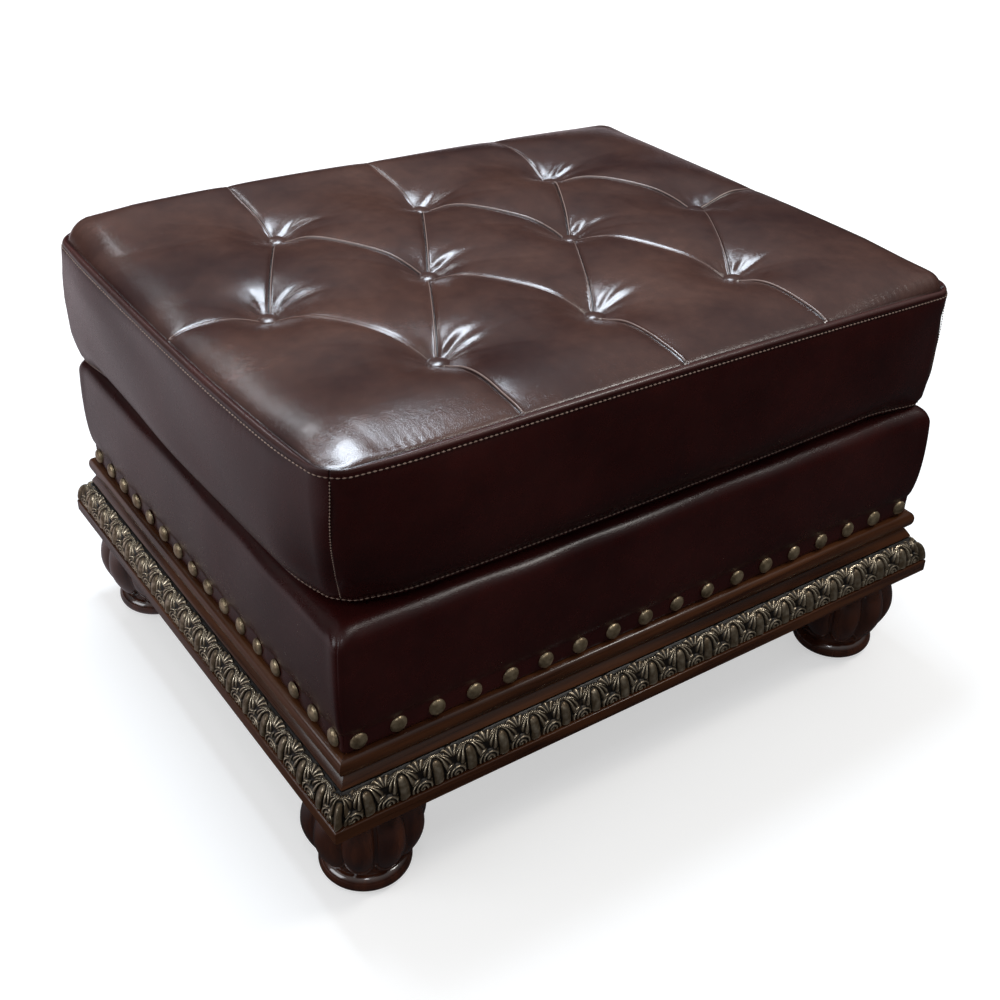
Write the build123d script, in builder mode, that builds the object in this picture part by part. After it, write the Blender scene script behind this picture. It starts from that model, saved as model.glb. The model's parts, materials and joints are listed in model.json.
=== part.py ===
from build123d import *
import math
import os
from collections import namedtuple

# Leather ottoman coffee table: a tufted box cushion lies loose on an upholstered box,
# which is screwed to a moulded hardwood plinth on four gadrooned bun feet.
# Millimetres, Z up, origin on the floor under the middle, long side along X, front at -Y.

# Whole table
plinth_length = 780.0
plinth_depth = 644.0
foot_height = 118.0
overrun = 2.0
hole_clearance = 0.1
cushion_clearance = 0.3

# Plinth moulding, inward from its fillet face and up from its underside
plinth_width = 44.0
fillet_height = 14.7
carving_height = 29.7
carving_lean = 16.5
carving_rebate = 21.0
splay_height = 12.6
cove_inset = 24.0
bead_height = 21.0
bead_inset = 16.4
bead_round = 6.0
bead_round_depth = 1.8
bead_top_inset = 22.7

# Carved band
carving_set_back = 0.8
carving_belly_share = 0.62
carving_belly_lean_share = 0.2
ground_sink = 4.0
leaf_sink = 2.0
tongue_pitch = 37.3
carving_corner_margin = 36.0
tongue_width = 12.0
leaf_width = 27.0
dart_width = 5.0

# Bun foot
foot_inset = 64.0
melon_radius = 62.0
neck_radius = 38.0
lobe_count = 10
lobe_depth = 7.0
lobe_span_share = 0.96
ring_radius = 44.4
ring_tube = 10.5
glide_radius = 14.0
glide_thickness = 3.0
glide_edge = 0.8
glide_pin_radius = 1.6
glide_pin_length = 16.0

# Foot fixing
bolt_radius = 4.0
bolt_in_foot = 38.0
bolt_in_block = 30.0
tee_nut_radius = 11.0
tee_nut_flange = 1.5
tee_nut_barrel = 5.4
tee_nut_length = 12.0

# Corner blocks
block_leg = 110.0
block_toe = 16.0
block_height = 34.0
block_screw_offset = 80.0
block_screw_seat = 18.0
block_screw_length = 36.0

# Wood screws
screw_radius = 2.2
screw_head_radius = 4.2
screw_head = 2.6
screw_point = 4.0
plinth_screw_seat = 30.0
plinth_screw_bite = 28.0
plinth_screw_steps = (-8, -4, 0, 4, 8)
plinth_side_screw_steps = (-7, 0, 7)

# Box frame
box_height = 136.9
rail_thickness = 22.0
post_size = 40.0
post_screw_bite = 16.0
post_screw_height = 46.0
post_screw_step = 14.0
stretcher_thickness = 22.0
stretcher_height = 60.0
stretcher_drop = 26.0

# Deck
strap_thickness = 1.8
strap_width = 60.0
strap_end = 1.0
long_strap_count = 4
long_strap_pitch = 122.0
cross_strap_count = 6
cross_strap_pitch = 116.0
hessian_thickness = 1.0
deck_pad_thickness = 12.0

# Leather of the box
leather = 1.4
cover_foot_inset = 23.5
cover_belly_inset = 20.2
cover_shoulder_inset = 18.5
edge_radius = 20.0
nail_strip = 22.0
nail_strip_padding = 3.1

# Nails
nail_radius = 9.4
nail_crown = 4.6
nail_shank_radius = 1.1
nail_shank = 14.0
nail_rise = 11.0
nail_corner_margin = 16.5
front_nail_count = 18
side_nail_count = 16

# Dust cover under the plinth
dust_cover_thickness = 0.8
dust_cover_inset = 10.0
dust_cover_foot_gap = 2.0

# Cushion
cushion_length = 770.0
cushion_depth = 616.0
cushion_corner = 52.0
cushion_curl = 7.7
cushion_curl_inset = 18.0
cushion_side = 135.0
cushion_draw_in = 22.0
cushion_crown = 24.0
wall_height_shares = (0.0, 0.16, 0.5, 0.79, 1.0)
wall_draw_shares = (1.0, 0.36, 0.0, 0.02, 0.36)
crown_rise_shares = (0.0, 0.2, 0.42, 0.6, 0.75, 0.92, 1.0)
crown_inset_shares = (0.0, 0.02, 0.054, 0.1, 0.16, 0.3, 0.6)
foam_clearance = 0.3
boxing_reach = 30.0
boxing_height_share = 0.5

# Tufting: rows of three, four and three buttons
tuft_pitch_x = 180.0
tuft_pitch_y = 161.0
tuft_depth = 30.0
tuft_flare = 60.0
crease_flare = 34.0
crease_depth = 24.0
crease_middle_flare = 26.0
crease_middle_depth = 8.0
crease_end_flare = 12.0
crease_end_depth = 4.0
crease_slim_station = 4
crease_end_station = 2
button_radius = 12.0
button_edge = 3.0
button_crown = 4.0
button_gap = 0.5
tuft_lift = 0.8
tie_radius = 1.2
toggle_radius = 9.0
toggle_thickness = 2.4

# Heights and insets that follow from the sizes above
plinth_height = fillet_height + carving_height + splay_height + bead_height
plinth_top = foot_height + plinth_height
carving_base = foot_height + fillet_height
carving_top = carving_base + carving_height
block_top = foot_height + block_height
deck_top = plinth_top + box_height
rail_inset = cover_foot_inset + leather + nail_strip_padding
rail_inner = rail_inset + rail_thickness
hessian_top = deck_top - leather - deck_pad_thickness
strap_top = hessian_top - hessian_thickness
front_rail_top = strap_top - strap_thickness
side_rail_top = front_rail_top - strap_thickness
cushion_base = deck_top + cushion_clearance
bottom_seam = cushion_base + cushion_curl
top_seam = bottom_seam + cushion_side
crown_top = top_seam + cushion_crown
tuft_floor = crown_top - tuft_depth

up = Vector(0, 0, 1)
Side = namedtuple("Side", "name inward face half_run")
half_length = plinth_length / 2
half_depth = plinth_depth / 2
sides = [
    Side("front", Vector(0, 1, 0), half_depth, half_length),
    Side("back", Vector(0, -1, 0), half_depth, half_length),
    Side("left", Vector(1, 0, 0), half_length, half_depth),
    Side("right", Vector(-1, 0, 0), half_length, half_depth),
]
corners = [
    ("front_left", -1, -1),
    ("front_right", 1, -1),
    ("back_left", -1, 1),
    ("back_right", 1, 1),
]

os.makedirs("parts", exist_ok=True)


def keep(block, name):
    """Name a finished piece and write it."""
    block.part.label = name
    export_step(block.part, f"parts/{name}.step")


def run_of(side):
    """Direction along a side."""
    return side.inward.cross(up)


def section_plane(side, along=0.0):
    """Upright plane across a side: x runs inward from the plinth face, y is height."""
    origin = side.inward * -side.face + run_of(side) * along
    return Plane(origin=origin, x_dir=side.inward, z_dir=run_of(side))


def inward_plane(side, along, inset, height):
    """Plane that faces into the table, for a screw driven outward from its seat."""
    origin = side.inward * (inset - side.face) + run_of(side) * along + up * height
    return Plane(origin=origin, x_dir=up, z_dir=side.inward)


def outward_plane(side, along, inset, height):
    """Plane that faces away from the table, at a depth under the plinth face."""
    origin = side.inward * (inset - side.face) + run_of(side) * along + up * height
    return Plane(origin=origin, x_dir=up, z_dir=side.inward * -1)


def mitres(side):
    """The two upright planes that cut a side's ends at 45 degrees."""
    planes = []
    for end in (-1, 1):
        corner = side.inward * -side.face + run_of(side) * (end * side.half_run)
        planes.append(Plane(origin=corner, z_dir=side.inward + run_of(side) * end))
    return planes


def dome_middle(radius, height):
    """Middle point of the arc from a dome's rim to its crown."""
    sphere = (radius**2 + height**2) / (2 * height)
    half_angle = math.asin(radius / sphere) / 2
    return (sphere * math.sin(half_angle), sphere * math.cos(half_angle) - sphere + height)


def screw(length, clearance=0.0, head_run=screw_head):
    """Wood screw along Z with its head on the seat at zero, or the bore it sits in."""
    shank = screw_radius + clearance
    head = screw_head_radius + clearance
    with BuildPart() as blank:
        with BuildSketch(Plane.XZ):
            with BuildLine():
                Polyline(
                    (0, head_run),
                    (head, head_run),
                    (head, 0),
                    (shank, 0),
                    (shank, screw_point - length),
                    (0, -length),
                    close=True,
                )
            make_face()
        revolve(axis=Axis.Z)
    return blank.part


# Plinth rails: fillet, rebate for the carved band, splay and thumb bead, mitred
plinth_screw_length = plinth_height - plinth_screw_seat + plinth_screw_bite


def nail_stations(side):
    """Nail positions along a side, between its corner nails."""
    count = front_nail_count if side.half_run == half_length else side_nail_count
    reach = side.half_run - cover_foot_inset - nail_corner_margin
    return [-reach + 2 * reach * index / (count - 1) for index in range(count)]


def plinth_screw_stations(side):
    """Screw positions half way between nails."""
    on_long_side = side.half_run == half_length
    steps = plinth_screw_steps if on_long_side else plinth_side_screw_steps
    nails = nail_stations(side)
    return [(nails[1] - nails[0]) * step for step in steps]


def plinth_screw_planes(side):
    """Seats of the screws that hold the box frame to the plinth."""
    inset = (rail_inset + plinth_width) / 2
    height = foot_height + plinth_screw_seat
    planes = []
    for along in plinth_screw_stations(side):
        origin = side.inward * (inset - side.face) + run_of(side) * along + up * height
        planes.append(Plane(origin=origin, z_dir=up * -1))
    return planes


def block_screw_planes(side):
    """Seats of the corner block screws on one side."""
    along = side.half_run - plinth_width - block_screw_offset
    inset = plinth_width + block_screw_seat
    height = foot_height + block_height / 2
    return [inward_plane(side, end * along, inset, height) for end in (-1, 1)]


nose = plinth_top - bead_height / 2
for side in sides:
    with BuildPart() as plinth_rail:
        with BuildSketch(section_plane(side)):
            with BuildLine():
                Polyline(
                    (bead_inset + bead_round_depth, nose - bead_round),
                    (cove_inset, plinth_top - bead_height),
                    (carving_lean, carving_top),
                    (carving_rebate, carving_top),
                    (carving_rebate, carving_base),
                    (0, carving_base),
                    (0, foot_height),
                    (plinth_width, foot_height),
                    (plinth_width, plinth_top),
                    (bead_top_inset, plinth_top),
                    (bead_inset + bead_round_depth, nose + bead_round),
                )
                ThreePointArc(
                    (bead_inset + bead_round_depth, nose + bead_round),
                    (bead_inset, nose),
                    (bead_inset + bead_round_depth, nose - bead_round),
                )
            make_face()
        extrude(amount=side.half_run, both=True)
        for mitre in mitres(side):
            split(bisect_by=mitre, keep=Keep.BOTTOM)
        with Locations(*plinth_screw_planes(side)):
            bore = screw(plinth_screw_length, hole_clearance, plinth_screw_seat + overrun)
            add(bore, mode=Mode.SUBTRACT)
        with Locations(*block_screw_planes(side)):
            add(screw(block_screw_length, hole_clearance), mode=Mode.SUBTRACT)
    keep(plinth_rail, f"plinth_rail_{side.name}")


# Carved band: an ovolo strip in the rebate, with leaves, tongues and darts at one pitch
def ovolo(sink):
    """Outline of the band, its face sunk below the tongues."""
    face = carving_set_back + sink
    belly = carving_height * carving_belly_share
    Polyline(
        (carving_lean + sink / 2, carving_top),
        (carving_rebate, carving_top),
        (carving_rebate, carving_base),
        (face, carving_base),
        (face, carving_base + ground_sink),
    )
    ThreePointArc(
        (face, carving_base + ground_sink),
        (face + carving_lean * carving_belly_lean_share, carving_base + belly),
        (carving_lean + sink / 2, carving_top),
    )


def carving_stations(side):
    """Tongue positions along a side, evenly spaced near the named pitch."""
    reach = side.half_run - carving_corner_margin
    steps = round(2 * reach / tongue_pitch)
    return [-reach + 2 * reach * index / steps for index in range(steps + 1)]


for side in sides:
    stations = carving_stations(side)
    middles = [(low + high) / 2 for low, high in zip(stations, stations[1:])]
    with BuildPart() as carved_moulding:
        with BuildSketch(section_plane(side)):
            with BuildLine():
                ovolo(ground_sink)
            make_face()
        extrude(amount=side.half_run, both=True)
        for sink, width, places in (
            (leaf_sink, leaf_width, stations),
            (0, tongue_width, stations),
            (leaf_sink, dart_width, middles),
        ):
            with BuildSketch(*[section_plane(side, along) for along in places]):
                with BuildLine():
                    ovolo(sink)
                make_face()
            extrude(amount=width / 2, both=True)
        for mitre in mitres(side):
            split(bisect_by=mitre, keep=Keep.BOTTOM)
    keep(carved_moulding, f"carved_moulding_{side.name}")

# Bun feet: a ball of ten lobes on a torus ring, bored for its bolt and glide
foot_base = glide_thickness
ring_middle = foot_base + ring_tube
ring_top = ring_middle + ring_tube
melon_middle = ring_top + math.sqrt(melon_radius**2 - neck_radius**2)
melon_top_radius = math.sqrt(melon_radius**2 - (foot_height - melon_middle) ** 2)
lobe_angle = math.pi / lobe_count
valley = melon_radius - lobe_depth
lobe_middle = (melon_radius**2 - valley**2) / (2 * (melon_radius - valley * math.cos(lobe_angle)))
lobe_radius = melon_radius - lobe_middle
crest_angle = -lobe_angle * lobe_span_share
valley_angle = math.atan2(
    lobe_middle * math.sin(lobe_angle),
    valley - lobe_middle * math.cos(lobe_angle),
)


def lobe_point(angle, hand):
    """Point on the lobe beside a groove, by its direction from the lobe's middle."""
    x = lobe_middle * math.cos(lobe_angle) + lobe_radius * math.cos(angle)
    y = lobe_middle * math.sin(lobe_angle) - lobe_radius * math.sin(angle)
    return (x, hand * y)


with BuildPart() as foot_blank:
    with BuildSketch(Plane.XZ):
        with BuildLine():
            Polyline(
                (melon_top_radius, foot_height),
                (0, foot_height),
                (0, ring_top),
                (neck_radius, ring_top),
            )
            ThreePointArc(
                (neck_radius, ring_top),
                (melon_radius, melon_middle),
                (melon_top_radius, foot_height),
            )
        make_face()
    revolve(axis=Axis.Z)
    for index in range(lobe_count // 2):
        turn = 2 * lobe_angle * index
        across = Vector(math.cos(turn), math.sin(turn), 0)
        middle = (crest_angle + valley_angle) / 2
        outside = melon_radius + overrun
        with BuildSketch(Plane(origin=up * melon_middle, x_dir=across, z_dir=up)):
            with BuildLine():
                ThreePointArc(
                    lobe_point(crest_angle, 1),
                    lobe_point(middle, 1),
                    (valley, 0),
                )
                ThreePointArc(
                    (valley, 0),
                    lobe_point(middle, -1),
                    lobe_point(crest_angle, -1),
                )
                Polyline(
                    lobe_point(crest_angle, -1),
                    (outside, lobe_point(crest_angle, -1)[1]),
                    (outside, lobe_point(crest_angle, 1)[1]),
                    lobe_point(crest_angle, 1),
                )
            make_face()
        spin = Axis(up * melon_middle, up.cross(across))
        revolve(axis=spin, revolution_arc=360, mode=Mode.SUBTRACT)
    with BuildSketch(Plane.XZ):
        with BuildLine():
            Polyline(
                (ring_radius - ring_tube, ring_top),
                (0, ring_top),
                (0, foot_base),
                (ring_radius - ring_tube, foot_base),
            )
            ThreePointArc(
                (ring_radius - ring_tube, foot_base),
                (ring_radius, ring_middle),
                (ring_radius - ring_tube, ring_top),
            )
        make_face()
    revolve(axis=Axis.Z)
    with Locations((0, 0, foot_height)):
        Hole(radius=bolt_radius, depth=bolt_in_foot)
    with Locations((0, 0, foot_base)):
        Cylinder(
            radius=glide_pin_radius,
            height=glide_pin_length,
            align=(Align.CENTER, Align.CENTER, Align.MIN),
            mode=Mode.SUBTRACT,
        )

foot_x = half_length - foot_inset
foot_y = half_depth - foot_inset
foot_places = [(x_sign * foot_x, y_sign * foot_y, 0) for _, x_sign, y_sign in corners]
for (corner_name, _, _), place in zip(corners, foot_places):
    with BuildPart() as foot:
        with Locations(place):
            add(foot_blank.part)
    keep(foot, f"foot_{corner_name}")

# Glides: turned discs with a pin up into each foot
with BuildPart() as glide_blank:
    Cylinder(
        radius=glide_radius,
        height=glide_thickness,
        align=(Align.CENTER, Align.CENTER, Align.MIN),
    )
    chamfer(glide_blank.edges().group_by(Axis.Z)[0], length=glide_edge)
    with Locations((0, 0, foot_base)):
        Cylinder(
            radius=glide_pin_radius,
            height=glide_pin_length,
            align=(Align.CENTER, Align.CENTER, Align.MIN),
        )
with BuildPart() as foot_glides:
    with Locations(*foot_places):
        add(glide_blank.part)
keep(foot_glides, "foot_glides")

# Bolts that screw each foot up into a tee nut in its corner block
with BuildPart() as hanger_bolts:
    with BuildSketch(Plane.XY.offset(foot_height - bolt_in_foot)):
        with Locations(*[place[:2] for place in foot_places]):
            Circle(bolt_radius)
    extrude(amount=bolt_in_foot + bolt_in_block)
keep(hanger_bolts, "hanger_bolts")

with BuildPart() as tee_nuts:
    with BuildSketch(Plane.XY.offset(block_top)):
        with Locations(*[place[:2] for place in foot_places]):
            Circle(tee_nut_radius)
    extrude(amount=tee_nut_flange)
    with BuildSketch(Plane.XY.offset(block_top - tee_nut_length)):
        with Locations(*[place[:2] for place in foot_places]):
            Circle(tee_nut_barrel)
    extrude(amount=tee_nut_length)
    with BuildSketch(Plane.XY.offset(block_top - tee_nut_length)):
        with Locations(*[place[:2] for place in foot_places]):
            Circle(bolt_radius)
    extrude(amount=tee_nut_length + tee_nut_flange, mode=Mode.SUBTRACT)
keep(tee_nuts, "tee_nuts")

# Corner blocks inside the plinth, bored for the foot bolts and screwed to both rails
near = plinth_width
far = plinth_width + block_leg
toe = plinth_width + block_toe
block_outline = [(near, near), (far, near), (far, toe), (toe, far), (near, far)]
for (corner_name, x_sign, y_sign), place in zip(corners, foot_places):
    outline = [(x_sign * (half_length - x), y_sign * (half_depth - y)) for x, y in block_outline]
    with BuildPart() as corner_block:
        with BuildSketch(Plane.XY.offset(foot_height)):
            Polygon(*outline, align=None)
        extrude(amount=block_height)
        with BuildSketch(Plane.XY.offset(foot_height)):
            with Locations(place[:2]):
                Circle(bolt_radius + hole_clearance)
        extrude(amount=block_height, mode=Mode.SUBTRACT)
        with BuildSketch(Plane.XY.offset(block_top - tee_nut_length)):
            with Locations(place[:2]):
                Circle(tee_nut_barrel)
        extrude(amount=tee_nut_length, mode=Mode.SUBTRACT)
        for side in sides:
            with Locations(*block_screw_planes(side)):
                add(screw(block_screw_length, hole_clearance, block_leg), mode=Mode.SUBTRACT)
    keep(corner_block, f"corner_block_{corner_name}")

with BuildPart() as corner_block_screws:
    for side in sides:
        with Locations(*block_screw_planes(side)):
            add(screw(block_screw_length))
keep(corner_block_screws, "corner_block_screws")

with BuildPart() as plinth_screws:
    for side in sides:
        with Locations(*plinth_screw_planes(side)):
            add(screw(plinth_screw_length))
keep(plinth_screws, "plinth_screws")

# Box frame: long rails run through, side rails butt between them, posts in the corners
post_middle = rail_inner + post_size / 2
post_screw_length = post_size + post_screw_bite


def post_screw_planes(side):
    """Seats of the screws that hold the corner posts to one rail."""
    on_long_side = side.half_run == half_length
    height = plinth_top + post_screw_height + (0 if on_long_side else post_screw_step)
    along = side.half_run - post_middle
    inset = rail_inner + post_size
    return [inward_plane(side, end * along, inset, height) for end in (-1, 1)]


def nail_planes(side):
    """Seats of the nail heads on the leather of one side."""
    height = plinth_top + nail_rise
    return [outward_plane(side, along, cover_foot_inset, height) for along in nail_stations(side)]


def nail_hole():
    """Bore round a nail's shank, from outside the leather inward."""
    with BuildPart() as bore:
        with Locations((0, 0, overrun)):
            Cylinder(
                radius=nail_shank_radius + hole_clearance,
                height=nail_shank + hole_clearance + overrun,
                align=(Align.CENTER, Align.CENTER, Align.MAX),
            )
    return bore.part


nail_bore = nail_hole()
for side in sides:
    on_long_side = side.half_run == half_length
    rail_end = rail_inset if on_long_side else rail_inner
    rail_top = front_rail_top if on_long_side else side_rail_top
    with BuildPart() as box_rail:
        with BuildSketch(section_plane(side)):
            with BuildLine():
                Polyline(
                    (rail_inset, plinth_top),
                    (rail_inner, plinth_top),
                    (rail_inner, rail_top),
                    (rail_inset, rail_top),
                    close=True,
                )
            make_face()
        extrude(amount=side.half_run - rail_end, both=True)
        for nailed_side in sides:
            with Locations(*nail_planes(nailed_side)):
                add(nail_bore, mode=Mode.SUBTRACT)
        with Locations(*plinth_screw_planes(side)):
            add(screw(plinth_screw_length, hole_clearance), mode=Mode.SUBTRACT)
        with Locations(*post_screw_planes(side)):
            add(screw(post_screw_length, hole_clearance), mode=Mode.SUBTRACT)
    keep(box_rail, f"box_rail_{side.name}")

for corner_name, x_sign, y_sign in corners:
    post_place = (x_sign * (half_length - post_middle), y_sign * (half_depth - post_middle))
    with BuildPart() as corner_post:
        with BuildSketch(Plane.XY.offset(plinth_top)):
            with Locations(post_place):
                Rectangle(post_size, post_size)
        extrude(amount=side_rail_top - plinth_top)
        for side in sides:
            with Locations(*post_screw_planes(side)):
                add(screw(post_screw_length, hole_clearance), mode=Mode.SUBTRACT)
    keep(corner_post, f"corner_post_{corner_name}")

with BuildPart() as frame_screws:
    for side in sides:
        with Locations(*post_screw_planes(side)):
            add(screw(post_screw_length))
keep(frame_screws, "frame_screws")

with BuildPart() as centre_stretcher:
    with BuildSketch(Plane.XY.offset(side_rail_top - stretcher_drop - stretcher_height)):
        Rectangle(stretcher_thickness, plinth_depth - 2 * rail_inner)
    extrude(amount=stretcher_height)
keep(centre_stretcher, "centre_stretcher")

# Deck: straps both ways, hessian, a felt pad and the leather that the cushion lies on
strap_inset = rail_inset + strap_end
with BuildPart() as webbing_long:
    with BuildSketch(Plane.XY.offset(side_rail_top)):
        with GridLocations(0, long_strap_pitch, 1, long_strap_count):
            Rectangle(plinth_length - 2 * strap_inset, strap_width)
    extrude(amount=strap_thickness)
keep(webbing_long, "webbing_long")

with BuildPart() as webbing_cross:
    with BuildSketch(Plane.XY.offset(front_rail_top)):
        with GridLocations(cross_strap_pitch, 0, cross_strap_count, 1):
            Rectangle(strap_width, plinth_depth - 2 * strap_inset)
    extrude(amount=strap_thickness)
keep(webbing_cross, "webbing_cross")

with BuildPart() as deck_hessian:
    with BuildSketch(Plane.XY.offset(strap_top)):
        Rectangle(plinth_length - 2 * strap_inset, plinth_depth - 2 * strap_inset)
    extrude(amount=hessian_thickness)
keep(deck_hessian, "deck_hessian")

deck_length = plinth_length - 2 * rail_inner
deck_depth = plinth_depth - 2 * rail_inner
with BuildPart() as deck_pad:
    with BuildSketch(Plane.XY.offset(hessian_top)):
        Rectangle(deck_length, deck_depth)
    extrude(amount=deck_pad_thickness)
keep(deck_pad, "deck_pad")

with BuildPart() as deck_cloth:
    with BuildSketch(Plane.XY.offset(deck_top - leather)):
        Rectangle(deck_length, deck_depth)
    extrude(amount=leather)
keep(deck_cloth, "deck_cloth")


# Leather sides of the box over their padding, mitred at the corner seams
def cover_face(depth):
    """Outer face of a box side, a depth under the leather, from the plinth to the deck."""
    strip_top = plinth_top + nail_strip
    shoulder = deck_top - edge_radius
    eased = (edge_radius - depth) * math.sin(math.pi / 4)
    centre = cover_shoulder_inset + edge_radius
    Line((cover_foot_inset + depth, plinth_top), (cover_foot_inset + depth, strip_top))
    ThreePointArc(
        (cover_foot_inset + depth, strip_top),
        (cover_belly_inset + depth, (strip_top + shoulder) / 2),
        (cover_shoulder_inset + depth, shoulder),
    )
    ThreePointArc(
        (cover_shoulder_inset + depth, shoulder),
        (centre - eased, shoulder + eased),
        (centre, deck_top - depth),
    )
    Line((centre, deck_top - depth), (rail_inner, deck_top - depth))


for side in sides:
    with BuildPart() as side_padding:
        with BuildSketch(section_plane(side)):
            with BuildLine():
                cover_face(leather)
                Polyline(
                    (rail_inner, deck_top - leather),
                    (rail_inner, hessian_top),
                    (rail_inset, hessian_top),
                    (rail_inset, plinth_top),
                    (cover_foot_inset + leather, plinth_top),
                )
            make_face()
        extrude(amount=side.half_run, both=True)
        for mitre in mitres(side):
            split(bisect_by=mitre, keep=Keep.BOTTOM)
        with Locations(*nail_planes(side)):
            add(nail_bore, mode=Mode.SUBTRACT)
    keep(side_padding, f"side_padding_{side.name}")

    with BuildPart() as box_cover:
        with BuildSketch(section_plane(side)):
            with BuildLine():
                cover_face(0)
                cover_face(leather)
                Line((rail_inner, deck_top), (rail_inner, deck_top - leather))
                Line((cover_foot_inset, plinth_top), (cover_foot_inset + leather, plinth_top))
            make_face()
        extrude(amount=side.half_run, both=True)
        for mitre in mitres(side):
            split(bisect_by=mitre, keep=Keep.BOTTOM)
        with Locations(*nail_planes(side)):
            add(nail_bore, mode=Mode.SUBTRACT)
    keep(box_cover, f"box_cover_{side.name}")

# Domed nails through leather and padding into the rails
with BuildPart() as nail_blank:
    with BuildSketch(Plane.XZ):
        with BuildLine():
            ThreePointArc((nail_radius, 0), dome_middle(nail_radius, nail_crown), (0, nail_crown))
            Polyline(
                (0, nail_crown),
                (0, -nail_shank),
                (nail_shank_radius, -nail_shank),
                (nail_shank_radius, 0),
                (nail_radius, 0),
            )
        make_face()
    revolve(axis=Axis.Z)
for side in sides:
    with BuildPart() as nails:
        with Locations(*nail_planes(side)):
            add(nail_blank.part)
    keep(nails, f"nails_{side.name}")

# Dust cover stapled under the plinth, cut round the feet
with BuildPart() as dust_cover:
    with BuildSketch(Plane.XY.offset(foot_height - dust_cover_thickness)):
        Rectangle(plinth_length - 2 * dust_cover_inset, plinth_depth - 2 * dust_cover_inset)
        with Locations(*[place[:2] for place in foot_places]):
            Circle(melon_top_radius + dust_cover_foot_gap, mode=Mode.SUBTRACT)
    extrude(amount=dust_cover_thickness)
keep(dust_cover, "dust_cover")

# Button places: a short row in front, a long row in the middle, a short row behind
buttons = [(step * tuft_pitch_x, row * tuft_pitch_y) for row in (-1, 1) for step in (-1, 0, 1)]
buttons += [(step * tuft_pitch_x / 2, 0) for step in (-3, -1, 1, 3)]


def crease_ends():
    """Pairs of buttons that share a crease, on the sides of the diamonds."""
    pairs = []
    for row in (-1, 1):
        for step in (-1, 0, 1):
            for turn in (-1, 1):
                outer = Vector(step * tuft_pitch_x, row * tuft_pitch_y)
                inner = Vector((step + turn / 2) * tuft_pitch_x, 0)
                pairs.append((outer, inner))
    return pairs


def seam_creases():
    """Creases that leave the outer buttons for the nearest edge: start, direction and reach."""
    seam_draw = cushion_draw_in * wall_draw_shares[-1]
    reach_x = cushion_length / 2 - seam_draw
    reach_y = cushion_depth / 2 - seam_draw
    creases = [(Vector(x, y), Vector(0, math.copysign(1, y)), reach_y) for x, y in buttons if y]
    for hand in (-1, 1):
        end_button = Vector(hand * 3 * tuft_pitch_x / 2, 0)
        creases.append((end_button, Vector(hand, 0), reach_x))
    return creases


def crease_section(flare, drop, top):
    """Two arcs that roll from the pillow tops down into one fold, closed above."""
    bend = (flare**2 + drop**2) / (2 * drop)
    half_turn = math.asin(flare / bend) / 2
    middle_x = flare - bend * math.sin(half_turn)
    middle_z = top - bend + bend * math.cos(half_turn)
    ThreePointArc((-flare, top), (-middle_x, middle_z), (0, top - drop))
    ThreePointArc((0, top - drop), (middle_x, middle_z), (flare, top))
    Polyline((flare, top), (flare, top + overrun), (-flare, top + overrun), (-flare, top))


def crown_station(index):
    """Inset from the top seam and height of one of the sections of the crown."""
    half_depth_at_seam = cushion_depth / 2 - cushion_draw_in * wall_draw_shares[-1]
    inset = crown_inset_shares[index] * half_depth_at_seam
    return inset, top_seam + crown_rise_shares[index] * cushion_crown


# What the tufting takes out of the crown: creases first, then a flared pit at each button
with BuildPart() as tufting:
    pillow_top = crown_top + tuft_lift
    for start, end in crease_ends():
        along = (end - start).normalized()
        for share in (0.0, 0.5, 1.0):
            at_middle = share == 0.5
            flare = crease_middle_flare if at_middle else crease_flare
            drop = crease_middle_depth if at_middle else crease_depth
            place = start + (end - start) * share
            with BuildSketch(Plane(origin=place, x_dir=up.cross(along), z_dir=along)):
                with BuildLine():
                    crease_section(flare, drop, pillow_top)
                make_face()
        loft(ruled=True)
    for start, along, reach in seam_creases():
        inner_inset, inner_height = crown_station(crease_slim_station)
        outer_inset, outer_height = crown_station(crease_end_station)
        run = reach - abs(start.dot(along))
        for gone, flare, drop, height in (
            (0, crease_flare, crease_depth, crown_top),
            (run - inner_inset, crease_middle_flare, crease_middle_depth, inner_height),
            (run - outer_inset, crease_end_flare, crease_end_depth, outer_height),
        ):
            place = start + along * gone
            with BuildSketch(Plane(origin=place, x_dir=up.cross(along), z_dir=along)):
                with BuildLine():
                    crease_section(flare, drop, height + tuft_lift)
                make_face()
        loft(ruled=True)
    seat = button_radius + button_gap
    pit = tuft_depth + tuft_lift
    bend = ((tuft_flare - seat) ** 2 + pit**2) / (2 * pit)
    half_turn = math.asin((tuft_flare - seat) / bend) / 2
    middle_x = tuft_flare - bend * math.sin(half_turn)
    middle_z = pillow_top - bend + bend * math.cos(half_turn)
    for x, y in buttons:
        with BuildSketch(Plane(origin=(x, y, 0), x_dir=(1, 0, 0), z_dir=(0, -1, 0))):
            with BuildLine():
                ThreePointArc((tuft_flare, pillow_top), (middle_x, middle_z), (seat, tuft_floor))
                Polyline(
                    (seat, tuft_floor),
                    (0, tuft_floor),
                    (0, pillow_top + overrun),
                    (tuft_flare, pillow_top + overrun),
                    (tuft_flare, pillow_top),
                )
            make_face()
        revolve(axis=Axis((x, y, 0), (0, 0, 1)))


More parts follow.
